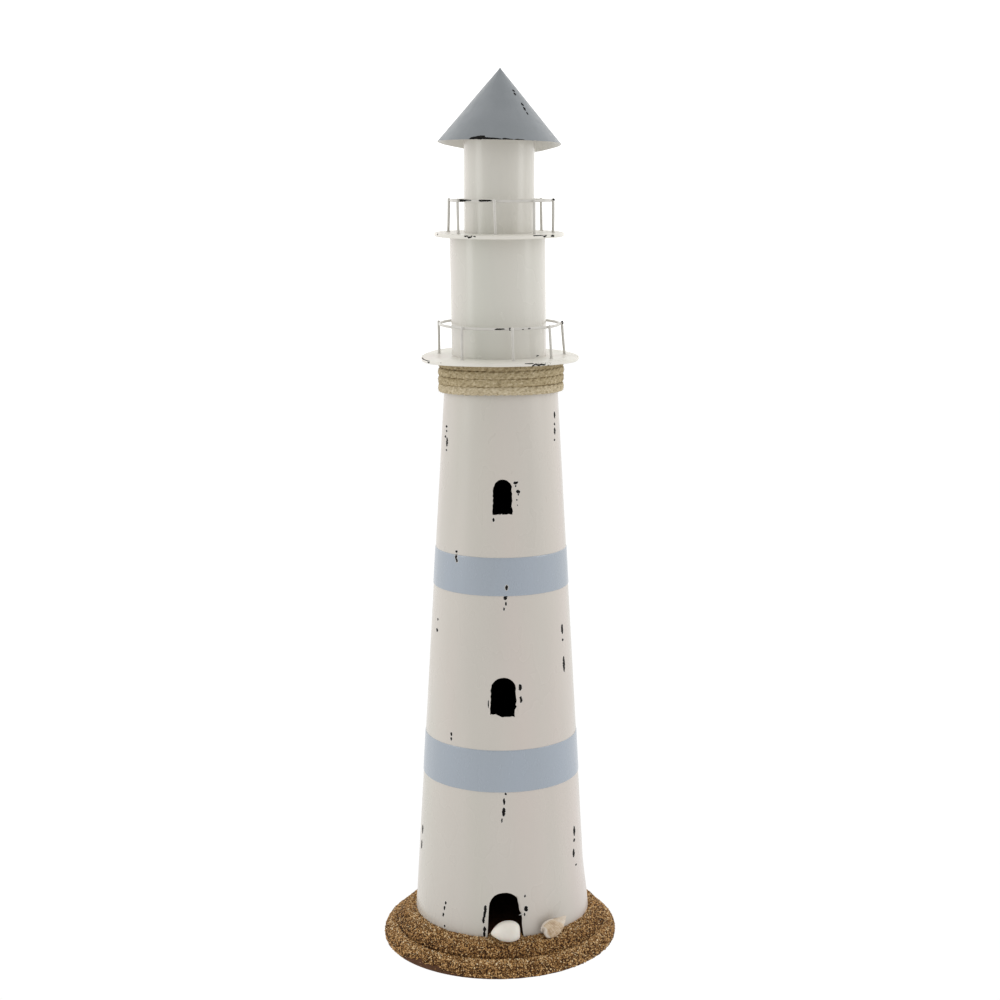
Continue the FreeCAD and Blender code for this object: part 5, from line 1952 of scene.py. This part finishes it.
def build_gallery_chips():
    """Bare spots on the rims, the wire rings and the tops of two posts."""
    m = Mesh()

    def up_rim(a, h, lf):
        return rim_point(UP_DECK, a, -np.asarray(h), lf)

    def low_rim(a, h, lf):
        return rim_point(LOW_DECK, a, -np.asarray(h), lf)
    strip(m, up_rim, [(-31.6, -0.75, -0.35), (-30.2, -1.15, -0.1),
                      (-28.6, -0.7, -0.2)], 0.03, 51, 0,
          1.65)
    strip(m, up_rim, [(-28.4, -1.0, -0.2), (-27.2, -1.7, 0.0),
                      (-25.0, -1.75, -0.05), (-23.6, -0.9, -0.35)], 0.03, 52, 0,
          1.65)
    strip(m, up_rim, [(-22.6, -0.8, -0.4), (-20.4, -1.2, -0.55)], 0.03, 53, 0,
          1.65)
    strip(m, up_rim, [(31.0, -0.7, -0.15), (33.0, -0.55, 0.0),
                      (38.0, -0.55, 0.0), (40.6, -0.7, 0.0),
                      (42.0, -1.5, 0.0), (44.0, -1.55, 0.0),
                      (45.8, -0.7, -0.1)], 0.03, 54, 0,
          1.65)
    strip(m, up_rim, [(51.4, -1.75, -1.2), (53.6, -1.6, 0.0),
                      (55.2, -1.7, -0.5), (56.6, -1.7, -1.3)], 0.03, 55, 0,
          1.65)
    strip(m, up_rim, [(-70.6, -1.2, -0.5), (-68.8, -1.3, -0.4)], 0.03, 56, 0,
          1.65)
    strip(m, low_rim, [(17.6, -0.35, 0.0), (20.0, -0.55, 0.0),
                       (24.2, -0.6, 0.0)], 0.03, 61, 0,
          1.35)
    strip(m, low_rim, [(22.8, -2.6, -2.0), (24.2, -2.55, -0.9),
                       (25.2, -1.6, -0.3), (26.2, -2.2, 0.2),
                       (28.6, -2.4, 0.2), (31.0, -2.3, 0.1),
                       (33.2, -2.1, 0.2), (34.4, -1.3, -0.1)], 0.03, 62)
    strip(m, low_rim, [(34.8, -1.9, -0.3), (36.4, -2.4, 0.1),
                       (38.2, -1.6, -0.2)], 0.03, 63)
    strip(m, low_rim, [(-83.0, -0.25, 0.0), (-78.0, -0.4, 0.0),
                       (-72.0, -0.35, 0.0), (-66.0, -0.3, 0.0),
                       (-62.0, -0.25, 0.0)], 0.03, 64, 0,
          1.35)
    strip(m, low_rim, [(-64.4, -1.5, -0.7), (-62.6, -1.8, -0.3),
                       (-61.2, -1.3, -0.7)], 0.03, 65, 0,
          1.35)
    strip(m, low_rim, [(-47.6, -0.8, -0.35), (-46.4, -0.85, -0.3)], 0.03, 66, 0,
          1.35)

    def ring_fn(m4, dx, ring_r, ring_z, tilt):
        fr = m4 @ shift(dx, 0, ring_z) @ turn(tilt, "X")

        def fn(a, phi, lf):
            a, b = np.radians(a), np.radians(phi)
            rr = ring_r + (1.19 + lf) * np.cos(b)
            return apply(fr, np.stack([rr * np.sin(a), -rr * np.cos(a),
                                       (1.19 + lf) * np.sin(b)], -1))
        return fn
    up_ring = ring_fn(M_UP, 1.35, 41.95, 26.5, -1.0)
    low_ring = ring_fn(M_LOW, -0.45, 51.05, 26.7, 0.6)
    strip(m, up_ring, [(-57.7, -60, 90), (-55.8, -70, 100), (-54.4, -45, 75),
                       (-51.5, -18, 62), (-46.0, -12, 55), (-41.0, -5, 52),
                       (-36.6, 4, 42), (-34.2, 12, 32)], 0.05, 71, 0, 1.45)
    strip(m, up_ring, [(-24.8, 5, 35), (-23.0, -12, 50), (-18.0, -8, 48),
                       (-13.0, -6, 46), (-9.8, 2, 30)], 0.05, 72, 0, 1.45)
    strip(m, up_ring, [(-8.6, -18, 10), (-7.8, -22, 16)], 0.05, 73, 0, 1.45)
    strip(m, low_ring, [(-4.4, -20, 0), (-2.0, -16, 30), (0.6, -12, 34),
                        (3.0, -2, 34), (4.8, 10, 24)], 0.05, 74, 0, 1.45)
    strip(m, low_ring, [(8.7, -40, 55), (9.6, -52, 68), (10.5, -40, 50)],
          0.05, 75, 0, 1.45)
    strip(m, low_ring, [(21.2, -38, -8), (22.4, -40, -4)], 0.05, 76, 0, 1.45)
    strip(m, low_ring, [(26.8, -14, 12), (28.4, -6, 30), (29.6, 6, 30)],
          0.05, 77, 0, 1.45)

    # bare tops of the posts at the right
    for m4, dx, ring_z, tilt, post_r, post, size in (
            (M_UP, 1.35, 26.5, -1.0, 44.3, UP_POSTS[4], (1.32, 1.32, 1.15)),
            (M_LOW, -0.45, 26.7, 0.6, 53.4, LOW_POSTS[4], (1.2, 1.25, 1.8))):
        az = post[0]
        z = ring_z - post_r * math.cos(rad(az)) * math.sin(rad(tilt))
        p = (m4 @ shift(dx, 0, 0)) @ Vector((
            (post_r + 0.1) * math.sin(rad(az)),
            -(post_r + 0.1) * math.cos(rad(az)), z + 0.55))
        bv, bf = blob(tuple(p), size, seed=88, nu=14, nv=9, rough=0.1)
        m.add(bv, bf)
    # at the foot of the middle tube

    def tube_fn(a, z, lf):
        r = 40.45 + lf + 0.06
        a = np.radians(a)
        return apply(M_MID, np.stack([r * np.sin(a), -r * np.cos(a),
                                      z + 0 * r], -1))
    strip(m, tube_fn, [(50.6, 0.7, 1.2), (53.0, 0.6, 1.5), (56.0, 0.9, 1.4)],
          0.05, 91, 0, 1.20)
    return m.build("v_gallery_paint_chips", [CHIP], (),
                   sharp=None)


build_gallery_chips()

# --------------------------------------------------------------- glue thread
m = Mesh()
pts = [on_tower(12.3, 43.6, -1.6), on_tower(13.2, 44.3, -0.9),
       on_tower(14.2, 45.2, -0.2), on_tower(14.9, 45.6, 0.12)]
v, f = tube_along(pts, [0.18, 0.3, 0.34, 0.25], 8)
m.add(v, f)
m.build("v_glue_thread", [GLUE], (), sharp=None)

# --------------------------------------------------------------------- floor
bpy.ops.mesh.primitive_plane_add(size=12.0, location=(0, 0, -0.0003))
floor = bpy.context.active_object
floor.name = "floor"
# plain white, without any shadow on it, as in the photograph
fm, nt, b = material("floor", 1.0, (0.0, 0.0, 0.0), Specular_IOR_Level=0.0,
                     Emission_Color=(1.0, 1.0, 1.0, 1.0),
                     Emission_Strength=1.02)
floor.data.materials.append(fm)
floor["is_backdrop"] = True

# --------------------------------------------------------------------- light
world = bpy.data.worlds.new("studio")
SCENE.world = world
world.use_nodes = True
nt = world.node_tree
bg = nt.nodes["Background"]
co = nt.nodes.new("ShaderNodeTexCoord")
sep = nt.nodes.new("ShaderNodeSeparateXYZ")
nt.links.new(co.outputs["Generated"], sep.inputs["Vector"])


def wmath(op, a, b=None):
    n = nt.nodes.new("ShaderNodeMath")
    n.operation = op
    for i, x in enumerate((a, b)):
        if x is None:
            continue
        if isinstance(x, (int, float)):
            n.inputs[i].default_value = x
        else:
            nt.links.new(x, n.inputs[i])
    return n.outputs[0]


side = wmath("MULTIPLY", wmath("POWER", wmath("ABSOLUTE", sep.outputs["X"]),
                               2.0), 0.70)
rear = wmath("MULTIPLY", wmath("MAXIMUM", sep.outputs["Y"], 0.0), 0.90)
top = wmath("MULTIPLY", wmath("MAXIMUM", sep.outputs["Z"], 0.0), 0.50)
total = wmath("ADD", wmath("ADD", wmath("ADD", side, rear), top), 0.40)
nt.links.new(total, bg.inputs["Strength"])
bg.inputs["Color"].default_value = (1.0, 0.995, 0.985, 1)


def softbox(name, loc, target, size, power):
    li = bpy.data.lights.new(name, "AREA")
    li.shape = "RECTANGLE"
    li.size, li.size_y = size
    li.energy = power
    ob = bpy.data.objects.new(name, li)
    ob.location = loc
    d = Vector(target) - Vector(loc)
    ob.rotation_euler = d.to_track_quat("-Z", "Y").to_euler()
    SCENE.collection.objects.link(ob)
    ob.visible_camera = False
    ob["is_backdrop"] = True
    return ob


softbox("softbox_left", (-1.5, -0.5, 0.86), (0, 0, 0.5), (0.5, 1.1), 3.5)
softbox("softbox_right", (1.5, -0.4, 0.98), (0, 0, 0.55), (0.5, 1.0), 3.4)

# -------------------------------------------------------------------- camera
cam_data = bpy.data.cameras.new("camera")
cam_data.lens = 61.2
cam_data.sensor_width = 36.0
cam_data.clip_start, cam_data.clip_end = 0.05, 50.0
cam = bpy.data.objects.new("camera", cam_data)
cam.location = (0.00018, -1.4579, 0.64121)
cam.rotation_euler = (rad(90.0 - 9.6), 0.0, 0.0)
SCENE.collection.objects.link(cam)
SCENE.camera = cam
SCENE.view_settings.view_transform = "Standard"
SCENE.view_settings.look = "None"

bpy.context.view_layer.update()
print("faces", sorted(((o.name, sum(len(p.vertices) - 2 for p in
                                    o.data.polygons))
                       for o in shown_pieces() if o.type == "MESH"),
                      key=lambda t: -t[1])[:6])
